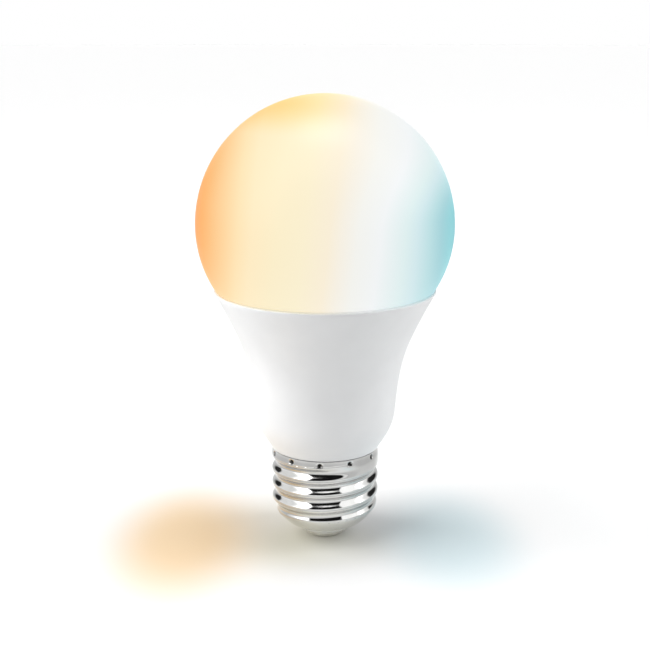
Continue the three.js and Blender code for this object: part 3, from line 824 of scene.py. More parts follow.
def start_tree(name: str, inputs: Mapping[str, str]) -> tuple[bpy.types.NodeTree, dict]:
    """Starts a tree of geometry nodes.

    Args:
        name: The tree's name.
        inputs: Each named input with its socket type.

    Returns:
        The tree, and its inputs' sockets by name.
    """
    tree = bpy.data.node_groups.new(name, "GeometryNodeTree")
    for label, kind in inputs.items():
        tree.interface.new_socket(label, in_out="INPUT", socket_type=kind)
    tree.interface.new_socket("Geometry", in_out="OUTPUT", socket_type="NodeSocketGeometry")
    entry = add_node(tree, "NodeGroupInput")
    return tree, {label: entry.outputs[label] for label in inputs}


def end_tree(
    tree: bpy.types.NodeTree, geometry: bpy.types.NodeSocket, material: bpy.types.Material
) -> None:
    """Ends a tree with real geometry and its material.

    Args:
        tree: The tree.
        geometry: What it made.
        material: The material of all of it.
    """
    real = add_node(tree, "GeometryNodeRealizeInstances", inputs={"Geometry": geometry})
    dressed = add_node(
        tree,
        "GeometryNodeSetMaterial",
        inputs={"Geometry": real.outputs[0], "Material": material},
    )
    add_node(tree, "NodeGroupOutput", inputs={"Geometry": dressed.outputs[0]})


def do_sums(
    tree: bpy.types.NodeTree,
    steps: Sequence[tuple],
    known: dict[str, object],
) -> dict[str, object]:
    """Lays out a run of Math nodes from a table.

    Args:
        tree: The tree that gets them.
        steps: For each sum its name, operation and operands, which are numbers or earlier names.
        known: Sockets and numbers that have names already.

    Returns:
        Everything that has a name.
    """
    found = dict(known)
    for label, operation, *operands in steps:
        inputs = {i: found[o] if isinstance(o, str) else o for i, o in enumerate(operands)}
        node = add_node(tree, "ShaderNodeMath", {"operation": operation}, inputs)
        found[label] = node.outputs[0]
    return found


def ease(
    tree: bpy.types.NodeTree, value: object, first: float, last: float
) -> bpy.types.NodeSocket:
    """Adds a smooth step from 0 to 1.

    Args:
        tree: The tree.
        value: What is measured.
        first: Where the step starts.
        last: Where it ends.

    Returns:
        The step.
    """
    made = add_node(
        tree,
        "ShaderNodeMapRange",
        {"interpolation_type": "SMOOTHSTEP"},
        {"Value": value, "From Min": first, "From Max": last},
    )
    return made.outputs[0]


# ------------------------------------------------------------------ outer pieces


@dataclass
class DiffuserGlobe:
    """The frosted globe: a ball over a slightly flatter lower half, open below."""

    radius: float = 30.25
    centre_z: float = 77.25
    lower_depth: float = 29.1
    wall: float = 1.3
    lip_z: float = 62.5
    skirt_radius: float = 24.0
    skirt_inner: float = 22.8
    skirt_bottom: float = 60.3
    lip_round: float = 0.35
    lip_thickness: float = 1.8
    skirt_rise: float = 0.6
    blend_drop: float = 6.0
    blend_deg: float = 1.6
    segments: int = 192

    def outline(self) -> Outline:
        """Draws the wall's section, inside down and outside up.

        Returns:
            The closed outline.
        """
        inner, depth = self.radius - self.wall, self.lower_depth - self.wall
        points: Outline = [(0.0, self.centre_z + inner)]
        points += self.arc(inner, inner, 90.0, 0.0, 48)
        stop = -math.degrees(math.asin((self.centre_z - self.lip_z - self.lip_thickness) / depth))
        points += self.arc(inner, depth, 0.0, stop, 20)
        start = -math.degrees(math.asin((self.centre_z - self.lip_z) / self.lower_depth))
        lip_r = self.radius * math.cos(math.radians(start))
        points += rounded(
            [
                (self.skirt_inner, self.lip_z + self.skirt_rise, 0.0),
                (self.skirt_inner, self.skirt_bottom, 0.2),
                (self.skirt_radius, self.skirt_bottom, 0.3),
                (self.skirt_radius, self.lip_z, 0.0),
                (lip_r, self.lip_z, self.lip_round),
                (self.radius, self.centre_z - self.blend_drop, 0.0),
            ]
        )[:-1]
        points += self.arc(self.radius, self.lower_depth, start + self.blend_deg, 0.0, 26)
        points += self.arc(self.radius, self.radius, 0.0, 90.0, 60)[:-1]
        points.append((0.0, self.centre_z + self.radius))
        return points

    def arc(self, width: float, height: float, first: float, last: float, steps: int) -> Outline:
        """Samples part of an ellipse about the globe's centre.

        Args:
            width: Its half width.
            height: Its half height.
            first: The angle where it starts, in degrees.
            last: The angle where it ends.
            steps: How many edges it has.

        Returns:
            Its points after the first.
        """
        points: Outline = []
        for k in range(1, steps + 1):
            angle = math.radians(first + (last - first) * k / steps)
            points.append((width * math.cos(angle), self.centre_z + height * math.sin(angle)))
        return points

    def build(self) -> None:
        """Makes the globe and dresses it."""
        globe = revolve("globe_skin", self.outline(), self.segments, 50.0)
        keep_piece(globe, PALETTE.globe, ["diffuser_globe"])


@dataclass
class HousingShell:
    """The white housing: a shoulder over the screw shell, a waist, and a flare to the rim."""

    neck_inner: float = 9.9
    neck_radius: float = 11.2
    neck_bottom_z: float = 9.4
    seat_radius: float = 12.25
    shoulder_radius: float = 13.2
    shelf_z: float = 23.3
    waist: tuple[float, float] = (16.94, 32.0)
    inner_waist: tuple[float, float] = (15.59, 32.0)
    rim: tuple[float, float] = (26.3, 61.9)
    seam_z: float = 62.2
    recess_radius: float = 24.3
    recess: tuple[float, float] = (23.7, 60.0)
    segments: int = 160
    curve_steps: int = 40

    def outline(self) -> Outline:
        """Draws the housing's section, outside up and inside down.

        Returns:
            The closed outline.
        """
        points: Outline = rounded(
            [
                (self.neck_inner, self.neck_bottom_z, 0.2),
                (self.neck_radius, self.neck_bottom_z, 0.3),
                (self.neck_radius, 22.1, 0.0),
                (self.seat_radius, 22.8, 0.0),
                (self.seat_radius, self.shelf_z, 0.0),
                (self.shoulder_radius, self.shelf_z, 0.2),
                (14.4, 25.4, 0.0),
            ]
        )[:-1]
        foot, steps = points[-1], self.curve_steps
        points += bezier([foot, (13.66, 24.6), (16.52, 27.42), self.waist], steps)
        points += bezier([self.waist, (18.07, 44.17), (18.39, 47.14), self.rim], steps)
        points += rounded(
            [
                (*self.rim, 0.0),
                (26.28, self.seam_z, 0.22),
                (self.recess_radius, self.seam_z, 0.15),
                (self.recess_radius, self.recess[1], 0.1),
                (*self.recess, 0.0),
            ]
        )[1:]
        neck_top = (self.neck_inner, 24.2)
        points += bezier([self.recess, (17.6, 48.2), (16.72, 44.17), self.inner_waist], 24)
        points += bezier([self.inner_waist, (15.17, 27.42), (11.6, 26.2), neck_top], 12)
        return points

    def build(self) -> None:
        """Makes the housing and dresses it."""
        housing = revolve("housing_skin", self.outline(), self.segments, 40.0)
        keep_piece(housing, PALETTE.housing, ["housing_shell"])


@dataclass
class ScrewShell:
    """The nickel-plated screw shell with a rolled right-hand thread of seven turns to the inch."""

    pitch: float = 25.4 / 7
    crest_radius: float = 13.025
    groove_depth: float = 0.9
    groove_base_z: float = 6.32
    run_in_z: float = 6.95
    run_out_z: float = 19.78
    run_length: float = 0.6
    crest_line: float = 0.1
    crest_sharpness: float = 24.0
    collar_step: float = 0.125
    collar_z: float = 20.7
    collar_length: float = 1.9
    top_z: float = 23.0
    bottom_z: float = 4.3
    taper_top_z: float = 9.8
    mouth_radius: float = 9.9
    taper_power: float = 2.0
    sheet: float = 0.35
    crimps: int = 11
    crimp_angle: float = 264.5
    crimp_z: float = 22.0
    crimp_radius: float = 0.78
    crimp_depth: float = 0.62
    # where the painted shade in each crimp dent starts and where it is full, as shares of the dent's
    # radius
    crimp_shade: tuple[float, float] = (0.95, 0.6)
    around: int = 240
    rows: int = 176

    def tree(self) -> bpy.types.NodeTree:
        """Lays out the geometry nodes that bend a flat grid into the threaded wall.

        Returns:
            The tree, with its sizes as named inputs.
        """
        floats = ("Pitch", "Crest radius", "Groove depth", "Groove base", "Top", "Bottom")
        inputs = {name: "NodeSocketFloat" for name in floats}
        inputs |= {"Around": "NodeSocketInt", "Rows": "NodeSocketInt"}
        tree, given = start_tree("rolled_thread", inputs)
        grid = add_node(
            tree,
            "GeometryNodeMeshGrid",
            inputs={"Vertices X": given["Around"], "Vertices Y": given["Rows"]},
        )
        position = add_node(tree, "GeometryNodeInputPosition")
        apart = add_node(tree, "ShaderNodeSeparateXYZ", inputs={0: position.outputs[0]})
        known = {
            "turns": apart.outputs[0],
            "row": apart.outputs[1],
            "pitch": given["Pitch"],
            "crest": given["Crest radius"],
            "depth": given["Groove depth"],
            "base": given["Groove base"],
            "top": given["Top"],
            "bottom": given["Bottom"],
        }
        sums = do_sums(tree, self.height_and_groove(), known)
        for name, first in (("run_in", self.run_in_z), ("run_out", self.run_out_z)):
            sums[name] = ease(tree, sums["centre_z"], first, first + self.run_length)
        sums["collar"] = ease(tree, sums["z"], self.collar_z, self.collar_z + self.collar_length)
        sums["crimp"] = ease(tree, sums["crimp_far"], 1.0, 0.0)
        # stores where shade is painted into the crimp dents, for the shell's finish
        marked = add_node(
            tree,
            "GeometryNodeStoreNamedAttribute",
            {"data_type": "FLOAT", "domain": "POINT"},
            {
                "Geometry": grid.outputs["Mesh"],
                "Name": PALETTE.shell.mark,
                "Value": ease(tree, sums["crimp_far"], *self.crimp_shade),
            },
        )
        sums = do_sums(tree, self.radius_and_place(), sums)
        place = add_node(
            tree, "ShaderNodeCombineXYZ", inputs={0: sums["x"], 1: sums["y"], 2: sums["z_m"]}
        )
        bent = add_node(
            tree,
            "GeometryNodeSetPosition",
            inputs={"Geometry": marked.outputs[0], "Position": place.outputs[0]},
        )
        closed = add_node(
            tree,
            "GeometryNodeMergeByDistance",
            inputs={"Geometry": bent.outputs[0], "Distance": 1e-6},
        )
        end_tree(tree, closed.outputs[0], PALETTE.shell.material())
        return tree

    def height_and_groove(self) -> list[tuple]:
        """Lists the sums from a grid point to its height, its groove and its nearest crimp.

        Returns:
            The steps for do_sums.
        """
        return [
            ("share", "ADD", "row", 0.5),
            ("rise", "SUBTRACT", "top", "bottom"),
            ("z", "MULTIPLY_ADD", "share", "rise", "bottom"),
            ("above", "SUBTRACT", "z", "base"),
            ("climbed", "DIVIDE", "above", "pitch"),
            ("phase", "SUBTRACT", "climbed", "turns"),
            ("nearest", "ROUND", "phase"),
            ("whole", "ADD", "turns", "nearest"),
            ("centre_z", "MULTIPLY_ADD", "whole", "pitch", "base"),
            ("wave_angle", "MULTIPLY", "phase", 2 * math.pi),
            ("wave", "COSINE", "wave_angle"),
            ("profile", "MULTIPLY_ADD", "wave", 0.5, 0.5),
            ("trough", "MULTIPLY", "wave", -1.0),
            ("crest_near", "MAXIMUM", "trough", 0.0),
            ("crest_share", "POWER", "crest_near", self.crest_sharpness),
            ("fallen", "SUBTRACT", self.taper_top_z, "z"),
            ("fallen_share", "DIVIDE", "fallen", self.taper_top_z - self.bottom_z),
            ("taper_base", "MAXIMUM", "fallen_share", 0.0),
            ("taper", "POWER", "taper_base", self.taper_power),
            ("crimp_turn", "SUBTRACT", "turns", self.crimp_angle / 360),
            ("crimp_count", "MULTIPLY", "crimp_turn", float(self.crimps)),
            ("crimp_index", "ROUND", "crimp_count"),
            ("crimp_off", "SUBTRACT", "crimp_count", "crimp_index"),
            ("crimp_arc", "MULTIPLY", "crimp_off", 2 * math.pi * self.crest_radius / self.crimps),
            ("crimp_rise", "SUBTRACT", "z", self.crimp_z),
            ("arc_squared", "MULTIPLY", "crimp_arc", "crimp_arc"),
            ("far_squared", "MULTIPLY_ADD", "crimp_rise", "crimp_rise", "arc_squared"),
            ("crimp_distance", "SQRT", "far_squared"),
            ("crimp_far", "DIVIDE", "crimp_distance", self.crimp_radius),
        ]

    def radius_and_place(self) -> list[tuple]:
        """Lists the sums that take the groove, taper, collar and crimps off the radius.

        Returns:
            The steps for do_sums.
        """
        return [
            ("run_left", "SUBTRACT", 1.0, "run_out"),
            ("run", "MULTIPLY", "run_in", "run_left"),
            ("groove", "MULTIPLY", "profile", "run"),
            ("groove_cut", "MULTIPLY", "groove", "depth"),
            ("grooved", "SUBTRACT", "crest", "groove_cut"),
            ("line", "MULTIPLY", "crest_share", "run"),
            ("threaded", "MULTIPLY_ADD", "line", -self.crest_line, "grooved"),
            ("taper_cut", "MULTIPLY", "taper", self.crest_radius - self.mouth_radius),
            ("tapered", "SUBTRACT", "threaded", "taper_cut"),
            ("collar_cut", "MULTIPLY", "collar", self.collar_step),
            ("collared", "SUBTRACT", "tapered", "collar_cut"),
            ("crimp_cut", "MULTIPLY", "crimp", self.crimp_depth),
            ("radius", "SUBTRACT", "collared", "crimp_cut"),
            ("radius_m", "MULTIPLY", "radius", MM),
            ("angle", "MULTIPLY", "turns", 2 * math.pi),
            ("cos", "COSINE", "angle"),
            ("sin", "SINE", "angle"),
            ("x", "MULTIPLY", "radius_m", "cos"),
            ("y", "MULTIPLY", "radius_m", "sin"),
            ("z_m", "MULTIPLY", "z", MM),
        ]

    def build(self) -> None:
        """Rolls the shell, gives it its sheet thickness and dresses it."""
        values = {
            "Pitch": self.pitch,
            "Crest radius": self.crest_radius,
            "Groove depth": self.groove_depth,
            "Groove base": self.groove_base_z,
            "Top": self.top_z,
            "Bottom": self.bottom_z,
            "Around": self.around + 1,
            "Rows": self.rows,
        }
        shell = run_tree("screw_shell_rolled", self.tree(), values)
        self.face_outwards(shell.data)
        thick = shell.modifiers.new("sheet", "SOLIDIFY")
        thick.thickness = self.sheet * MM
        thick.offset = -1.0
        thick.use_even_offset = True
        graph = bpy.context.evaluated_depsgraph_get()
        graph.update()
        mesh = bpy.data.meshes.new_from_object(shell.evaluated_get(graph))
        shell.modifiers.remove(thick)
        shell.data = mesh
        mesh.shade_smooth()
        mesh.set_sharp_from_angle(angle=math.radians(60))
        keep_piece(shell, PALETTE.shell, ["screw_shell"])

    def face_outwards(self, mesh: bpy.types.Mesh) -> None:
        """Turns every face of the wall away from the axis.

        Args:
            mesh: The open wall.
        """
        work = bmesh.new()
        work.from_mesh(mesh)
        bmesh.ops.remove_doubles(work, verts=work.verts, dist=1e-7)
        middle = max(work.faces, key=lambda f: f.calc_center_median().z)
        bmesh.ops.recalc_face_normals(work, faces=work.faces)
        out = middle.calc_center_median()
        out.z = 0
        if middle.normal.dot(out) < 0:
            bmesh.ops.reverse_faces(work, faces=work.faces)
        work.to_mesh(mesh)
        work.free()


@dataclass
class BaseTip:
    """The insulator in the mouth of the screw shell, and the centre contact under it."""

    segments: int = 128

    def build(self) -> None:
        """Makes both pieces and dresses them."""
        insulator = revolve(
            "base_insulator_pressed",
            rounded(
                [
                    (1.5, 1.75, 0.1),
                    (5.8, 1.75, 0.5),
                    (9.4, 4.1, 0.4),
                    (9.4, 5.2, 0.0),
                    (9.9, 5.8, 0.1),
                    (9.9, 6.4, 0.1),
                    (1.5, 6.4, 0.1),
                ]
            ),
            self.segments,
        )
        keep_piece(insulator, PALETTE.insulator, ["base_insulator"])
        contact = revolve(
            "centre_contact_stamped",
            rounded(
                [
                    (0.0, 0.0, 0.0),
                    (3.6, 0.0, 1.2),
                    (4.75, 0.55, 0.4),
                    (5.0, 1.2, 0.15),
                    (5.0, 1.45, 0.1),
                    (1.2, 1.45, 0.0),
                    (1.2, 6.9, 0.2),
                    (0.0, 6.9, 0.0),
                ]
            ),
            self.segments,
        )
        keep_piece(contact, PALETTE.contact, ["centre_contact"])


# ------------------------------------------------------------------ inner pieces


def node_box(name: str) -> tuple[Vector, Vector]:
    """Gives a CAD node's lowest and highest corners, in millimetres."""
    low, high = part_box(name)
    return Vector(low) / MM, Vector(high) / MM


def add_block(
    work: bmesh.types.BMesh, low: Sequence[float], high: Sequence[float], bevel: float = 0.0
) -> None:
    """Adds a box, with rounded edges if it is given a bevel.

    Args:
        work: The work mesh.
        low: The lowest corner, in millimetres.
        high: The highest corner.
        bevel: How far the rounding reaches.
    """
    low, high = Vector(low) * MM, Vector(high) * MM
    place = Matrix.Translation((low + high) / 2) @ Matrix.Diagonal((high - low).to_4d())
    made = bmesh.ops.create_cube(work, size=1.0, matrix=place)
    if bevel > 0:
        edges = list({edge for vert in made["verts"] for edge in vert.link_edges})
        bmesh.ops.bevel(
            work, geom=edges, offset=bevel * MM, segments=3, profile=0.5, affect="EDGES"
        )


def blocks(name: str, corners: Sequence[tuple], bevel: float = 0.0) -> bpy.types.Object:
    """Makes one object of several boxes.

    Args:
        name: Its name.
        corners: Each box's lowest and highest corner, in millimetres.
        bevel: How far their edges are rounded.

    Returns:
        The object.
    """
    work = bmesh.new()
    for low, high in corners:
        add_block(work, low, high, bevel)
    return from_bmesh(name, work, 40.0)


def paint(piece: bpy.types.Object, finish: Finish, inside: Callable[[Vector], bool]) -> None:
    """Gives some of a dressed piece's faces another finish.

    Args:
        piece: The piece.
        finish: Their finish.
        inside: Says whether a face is one of them, from its centre in millimetres.
    """
    piece.data.materials.append(finish.material())
    index = len(piece.data.materials) - 1
    for face in piece.data.polygons:
        if inside(face.center / MM):
            face.material_index = index


def cut(piece: bpy.types.Object, cutter: bpy.types.Object) -> None:
    """Takes one closed mesh off another, and removes the cutter.

    Args:
        piece: What is cut.
        cutter: What is taken off.
    """
    modifier = piece.modifiers.new("cut", "BOOLEAN")
    modifier.object = cutter
    modifier.operation, modifier.solver = "DIFFERENCE", "EXACT"
    graph = bpy.context.evaluated_depsgraph_get()
    graph.update()
    mesh = bpy.data.meshes.new_from_object(piece.evaluated_get(graph))
    piece.modifiers.remove(modifier)
    piece.data = mesh
    mesh.set_sharp_from_angle(angle=math.radians(40))
    bpy.data.objects.remove(cutter)


class Layout(Enum):
    """How copies of a part are set out."""

    RING = "ring"
    ROW = "row"


@dataclass
class Copies:
    """Copies of one part on a ring about the bulb's axis, or on a straight row.

    Lengths are in millimetres. A ring uses count, first_deg, step_deg, radius and height, and a
    row uses count, start and offset.
    """

    layout: Layout
    count: int
    first_deg: float = 0.0
    step_deg: float = 0.0
    radius: float = 0.0
    height: float = 0.0
    start: tuple[float, float, float] = (0.0, 0.0, 0.0)
    offset: tuple[float, float, float] = (0.0, 0.0, 0.0)

    def make(
        self,
        name: str,
        part: bpy.types.Object,
        finish: Finish,
        nodes: Iterable[str] = (),
    ) -> bpy.types.Object:
        """Sets out the copies, keeps them as one piece and removes the part.

        Args:
            name: The piece's name.
            part: The part, made at the origin.
            finish: The finish of every copy.
            nodes: The CAD nodes that the piece stands for.

        Returns:
            The piece.
        """
        ring = self.layout is Layout.RING
        tree = (self.ring_tree if ring else self.row_tree)(finish.material())
        values: dict[str, object] = {"Part": part, "Count": self.count}
        if ring:
            values |= {
                "First": math.radians(self.first_deg),
                "Step": math.radians(self.step_deg),
                "Radius": self.radius * MM,
                "Height": self.height * MM,
            }
        else:
            values |= {
                "Start": [v * MM for v in self.start],
                "Offset": [v * MM for v in self.offset],
            }
        made = run_tree(name, tree, values)
        bpy.data.objects.remove(part)
        made.data.set_sharp_from_angle(angle=math.radians(40))
        return keep_piece(made, finish, nodes)

    def ring_tree(self, material: bpy.types.Material) -> bpy.types.NodeTree:
        """Lays out the nodes of a ring.

        Args:
            material: The copies' material.

        Returns:
            The tree.
        """
        floats = {name: "NodeSocketFloat" for name in ("First", "Step", "Radius", "Height")}
        tree, given = start_tree(
            "copies_on_a_ring", {"Part": "NodeSocketObject", "Count": "NodeSocketInt", **floats}
        )
        index = add_node(tree, "GeometryNodeInputIndex").outputs[0]
        steps = [
            ("angle", "MULTIPLY_ADD", "index", "step", "first"),
            ("cos", "COSINE", "angle"),
            ("sin", "SINE", "angle"),
            ("x", "MULTIPLY", "radius", "cos"),
            ("y", "MULTIPLY", "radius", "sin"),
        ]
        known = {
            "index": index,
            "step": given["Step"],
            "first": given["First"],
            "radius": given["Radius"],
        }
        sums = do_sums(tree, steps, known)
        place = add_node(
            tree, "ShaderNodeCombineXYZ", inputs={0: sums["x"], 1: sums["y"], 2: given["Height"]}
        )
        points = add_node(
            tree,
            "GeometryNodePoints",
            inputs={"Count": given["Count"], "Position": place.outputs[0]},
        )
        turn = add_node(tree, "ShaderNodeCombineXYZ", inputs={2: sums["angle"]})
        self.copy_to(tree, points.outputs[0], given["Part"], material, turn.outputs[0])
        return tree

    def row_tree(self, material: bpy.types.Material) -> bpy.types.NodeTree:
        """Lays out the nodes of a row.

        Args:
            material: The copies' material.

        Returns:
            The tree.
        """
        vectors = {name: "NodeSocketVector" for name in ("Start", "Offset")}
        tree, given = start_tree(
            "copies_in_a_row", {"Part": "NodeSocketObject", "Count": "NodeSocketInt", **vectors}
        )
        line = add_node(
            tree,
            "GeometryNodeMeshLine",
            inputs={
                "Count": given["Count"],
                "Start Location": given["Start"],
                "Offset": given["Offset"],
            },
        )
        self.copy_to(tree, line.outputs[0], given["Part"], material)
        return tree

    def copy_to(
        self,
        tree: bpy.types.NodeTree,
        points: bpy.types.NodeSocket,
        part: bpy.types.NodeSocket,
        material: bpy.types.Material,
        turn: bpy.types.NodeSocket | None = None,
    ) -> None:
        """Puts the part on every point and ends the tree.

        Args:
            tree: The tree.
            points: Where the copies go.
            part: The part's socket.
            material: The copies' material.
            turn: How each copy is turned, if it is.
        """
        shape = add_node(tree, "GeometryNodeObjectInfo", inputs={0: part})
        inputs = {"Points": points, "Instance": shape.outputs["Geometry"]}
        if turn is not None:
            inputs["Rotation"] = turn
        copied = add_node(tree, "GeometryNodeInstanceOnPoints", inputs=inputs)
        end_tree(tree, copied.outputs[0], material)


@dataclass
class LedPackages:
    """Sixteen LEDs on the board: warm ones on the -X side, cool ones on the +X side."""

    count: int = 8
    ring_radius: float = 16.2
    base_z: float = 61.9
    radial: float = 2.8
    along: float = 3.5
    height: float = 0.8
    rim: float = 0.42
    well_depth: float = 0.34
    gel_gap: float = 0.01
    gel_sink: float = 0.06
    terminal: float = 0.5
    terminal_out: float = 0.12
    terminal_inset: float = 0.35
    terminal_thick: float = 0.1

    def build(self) -> None:
        """Makes the frames, the phosphor in their wells and their terminals."""
        step = 180.0 / self.count
        half_r, half_a = self.radial / 2, self.along / 2
        banks = (
            ("warm", 90.0 + step / 2, PALETTE.warm_phosphor),
            ("cool", -90.0 + step / 2, PALETTE.cool_phosphor),
        )
        for bank, first, phosphor in banks:
            ring = Copies(Layout.RING, self.count, first, step, self.ring_radius, self.base_z)
            nodes = [f"{bank}_led_{n}" for n in range(1, self.count + 1)]
            ring.make(f"{bank}_led_frames", self.frame(), PALETTE.led_frame, nodes)
            gel_r, gel_a = (half - self.rim - self.gel_gap for half in (half_r, half_a))
            low = (-gel_r, -gel_a, self.height - self.well_depth)
            gel = blocks("gel", [(low, (gel_r, gel_a, self.height - self.gel_sink))], 0.12)
            ring.make(f"{bank}_led_phosphor", gel, phosphor)
            out, back = half_a + self.terminal_out, half_a - self.terminal
            foot_r, foot_z = half_r - self.terminal_inset, -self.terminal_thick
            sides = [(-out, -back), (back, out)]
            feet = [((-foot_r, a, foot_z), (foot_r, b, 0.0)) for a, b in sides]
            ring.make(f"{bank}_led_terminals", blocks("feet", feet), PALETTE.tin_plate)

    def frame(self) -> bpy.types.Object:
        """Makes one frame: a box with a well in its top.

        Returns:
            The frame, with its foot at the origin.
        """
        half_r, half_a = self.radial / 2, self.along / 2
        work = bmesh.new()
        add_block(work, (-half_r, -half_a, 0.0), (half_r, half_a, self.height))
        top = max(work.faces, key=lambda f: f.calc_center_median().z)
        bmesh.ops.inset_region(work, faces=[top], thickness=self.rim * MM)
        for vert in top.verts:
            vert.co.z -= self.well_depth * MM
        return from_bmesh("frame", work)


@dataclass
class BoardScrews:
    """Two screws with domed heads and a cross recess, and their threads."""

    spacing: float = 22.0
    foot_z: float = 57.2
    head_z: float = 61.9
    top_z: float = 63.4
    head_radius: float = 2.2
    shank_radius: float = 1.1
    thread_depth: float = 0.22
    thread_pitch: float = 0.5
    recess: tuple[float, float, float] = (1.3, 0.3, 0.8)

    def build(self) -> None:
        """Makes one screw, and sets out both."""
        corners: list[Corner] = [(0.0, self.foot_z, 0.0)]
        count = int((self.head_z - self.foot_z - 0.4) / self.thread_pitch)
        for k in range(count):
            z = self.foot_z + 0.1 + k * self.thread_pitch
            corners.append((self.shank_radius - self.thread_depth, z, 0.0))
            corners.append((self.shank_radius, z + self.thread_pitch / 2, 0.0))
        corners += [
            (self.shank_radius - self.thread_depth, self.head_z - 0.2, 0.0),
            (self.shank_radius, self.head_z, 0.0),
            (self.head_radius, self.head_z, 0.12),
            (self.head_radius, self.top_z - 0.55, 0.3),
            (self.head_radius * 0.55, self.top_z, 0.4),
            (0.0, self.top_z, 0.0),
        ]
        screw = revolve("screw", rounded(corners), 48)
        reach, half, depth = self.recess
        bars = [(reach, half), (half, reach)]
        for x, y in bars:
            bar = blocks("bar", [((-x, -y, self.top_z - depth), (x, y, self.top_z + 1))])
            cut(screw, bar)
        row = Copies(Layout.ROW, 2, start=(-self.spacing / 2, 0, 0), offset=(self.spacing, 0, 0))
        names = ["board_screw_left", "board_screw_right"]
        row.make("board_screws", screw, PALETTE.steel, names)


@dataclass
class CanCapacitors:
    """Electrolytic capacitors: a crimped can in a shrunk sleeve, with a bare top."""

    crimp_rise: float = 1.5
    crimp_depth: float = 0.45
    fold: float = 0.8
    top_sink: float = 0.3
    stripe_deg: float = 24.0

    def build(self) -> None:
        """Makes both capacitors and dresses them."""
        for node in ("bulk_capacitor", "output_capacitor"):
            low, high = node_box(node)
            radius = (high.x - low.x) / 2
            centre = (low + high) / 2
            crimp_z = low.z + self.crimp_rise
            outline = rounded(
                [
                    (0.0, low.z, 0.0),
                    (radius - self.crimp_depth, low.z, 0.15),
                    (radius, low.z + 0.4, 0.3),
                    (radius, crimp_z - 0.45, 0.2),
                    (radius - self.crimp_depth, crimp_z, 0.25),
                    (radius, crimp_z + 0.45, 0.2),
                    (radius, high.z, 0.35),
                    (radius - self.fold, high.z, 0.1),
                    (radius - self.fold, high.z - self.top_sink, 0.0),
                    (0.0, high.z - self.top_sink, 0.0),
                ]
            )
            can = revolve(f"{node}_can", outline, 64, centre=(centre.x, centre.y, 0.0))
            keep_piece(can, PALETTE.sleeve_film, [node])

            def on_top(at: Vector) -> bool:
                """Says whether a place is on the bare top."""
                away = math.hypot(at.x - centre.x, at.y - centre.y)
                return at.z > high.z - 1 and away < radius - self.fold + 0.02

            def on_stripe(at: Vector) -> bool:
                """Says whether a place is on the printed stripe."""
                around = math.degrees(math.atan2(at.y - centre.y, at.x - centre.x))
                return abs(around - 90) < self.stripe_deg and crimp_z < at.z < high.z - 0.4

            paint(can, PALETTE.tin_plate, on_top)
            paint(can, PALETTE.stripe_ink, on_stripe)


@dataclass
class DippedParts:
    """The fusible resistor, the varistor and the film capacitor."""

    band_places: tuple[float, ...] = (0.24, 0.4, 0.56, 0.76)
    band_width: float = 0.5

    def build(self) -> None:
        """Makes the three parts and dresses them."""
        self.resistor()
        low, high = node_box("varistor")
        thick, radius = high.x - low.x, (high.z - low.z) / 2
        corners: list[Corner] = [
            (0.0, 0.0, 0.0),
            (radius - 0.3, 0.25, 0.5),
            (radius, thick / 2, 0.6),
            (radius - 0.3, thick - 0.25, 0.5),
            (0.0, thick, 0.0),
        ]
        centre = (low + high) / 2
        disc = revolve(
            "varistor_disc",
            rounded(corners),
            64,
            centre=(low.x, centre.y, centre.z),
            turn=Matrix.Rotation(math.pi / 2, 4, "Y"),
        )
        keep_piece(disc, PALETTE.varistor_coat, ["varistor"])
        film = blocks("film_capacitor_case", [node_box("film_capacitor")], 0.7)
        keep_piece(film, PALETTE.film_case, ["film_capacitor"])

    def resistor(self) -> None:
        """Makes the resistor: swollen ends, a slimmer middle and colour bands."""
        low, high = node_box("fusible_resistor")
        centre, radius = (low + high) / 2, (high.x - low.x) / 2
        length = high.z - low.z
        outline = rounded(
            [
                (0.0, low.z, 0.0),
                (radius, low.z, 0.6),
                (radius, low.z + 1.6, 0.5),
                (radius - 0.25, low.z + 2.2, 0.5),
                (radius - 0.25, high.z - 2.2, 0.5),
                (radius, high.z - 1.6, 0.5),
                (radius, high.z, 0.6),
                (0.0, high.z, 0.0),
            ]
        )
        edges = [low.z + share * length for share in self.band_places]
        fine: Outline = []
        for (r0, z0), (r1, z1) in zip(outline, outline[1:]):
            stops = [z for e in edges for z in (e, e + self.band_width) if z0 < z < z1]
            fine.append((r0, z0))
            fine += [(r0 + (r1 - r0) * (z - z0) / (z1 - z0), z) for z in stops]
        fine.append(outline[-1])
        body = revolve("resistor_body", fine, 48, centre=(centre.x, centre.y, 0.0))
        keep_piece(body, PALETTE.resistor_coat, ["fusible_resistor"])
        inks = (PALETTE.brown_ink, PALETTE.black_ink, PALETTE.brown_ink, PALETTE.gold)
        for edge, ink in zip(edges, inks):
            paint(body, ink, lambda at, e=edge: e < at.z < e + self.band_width)


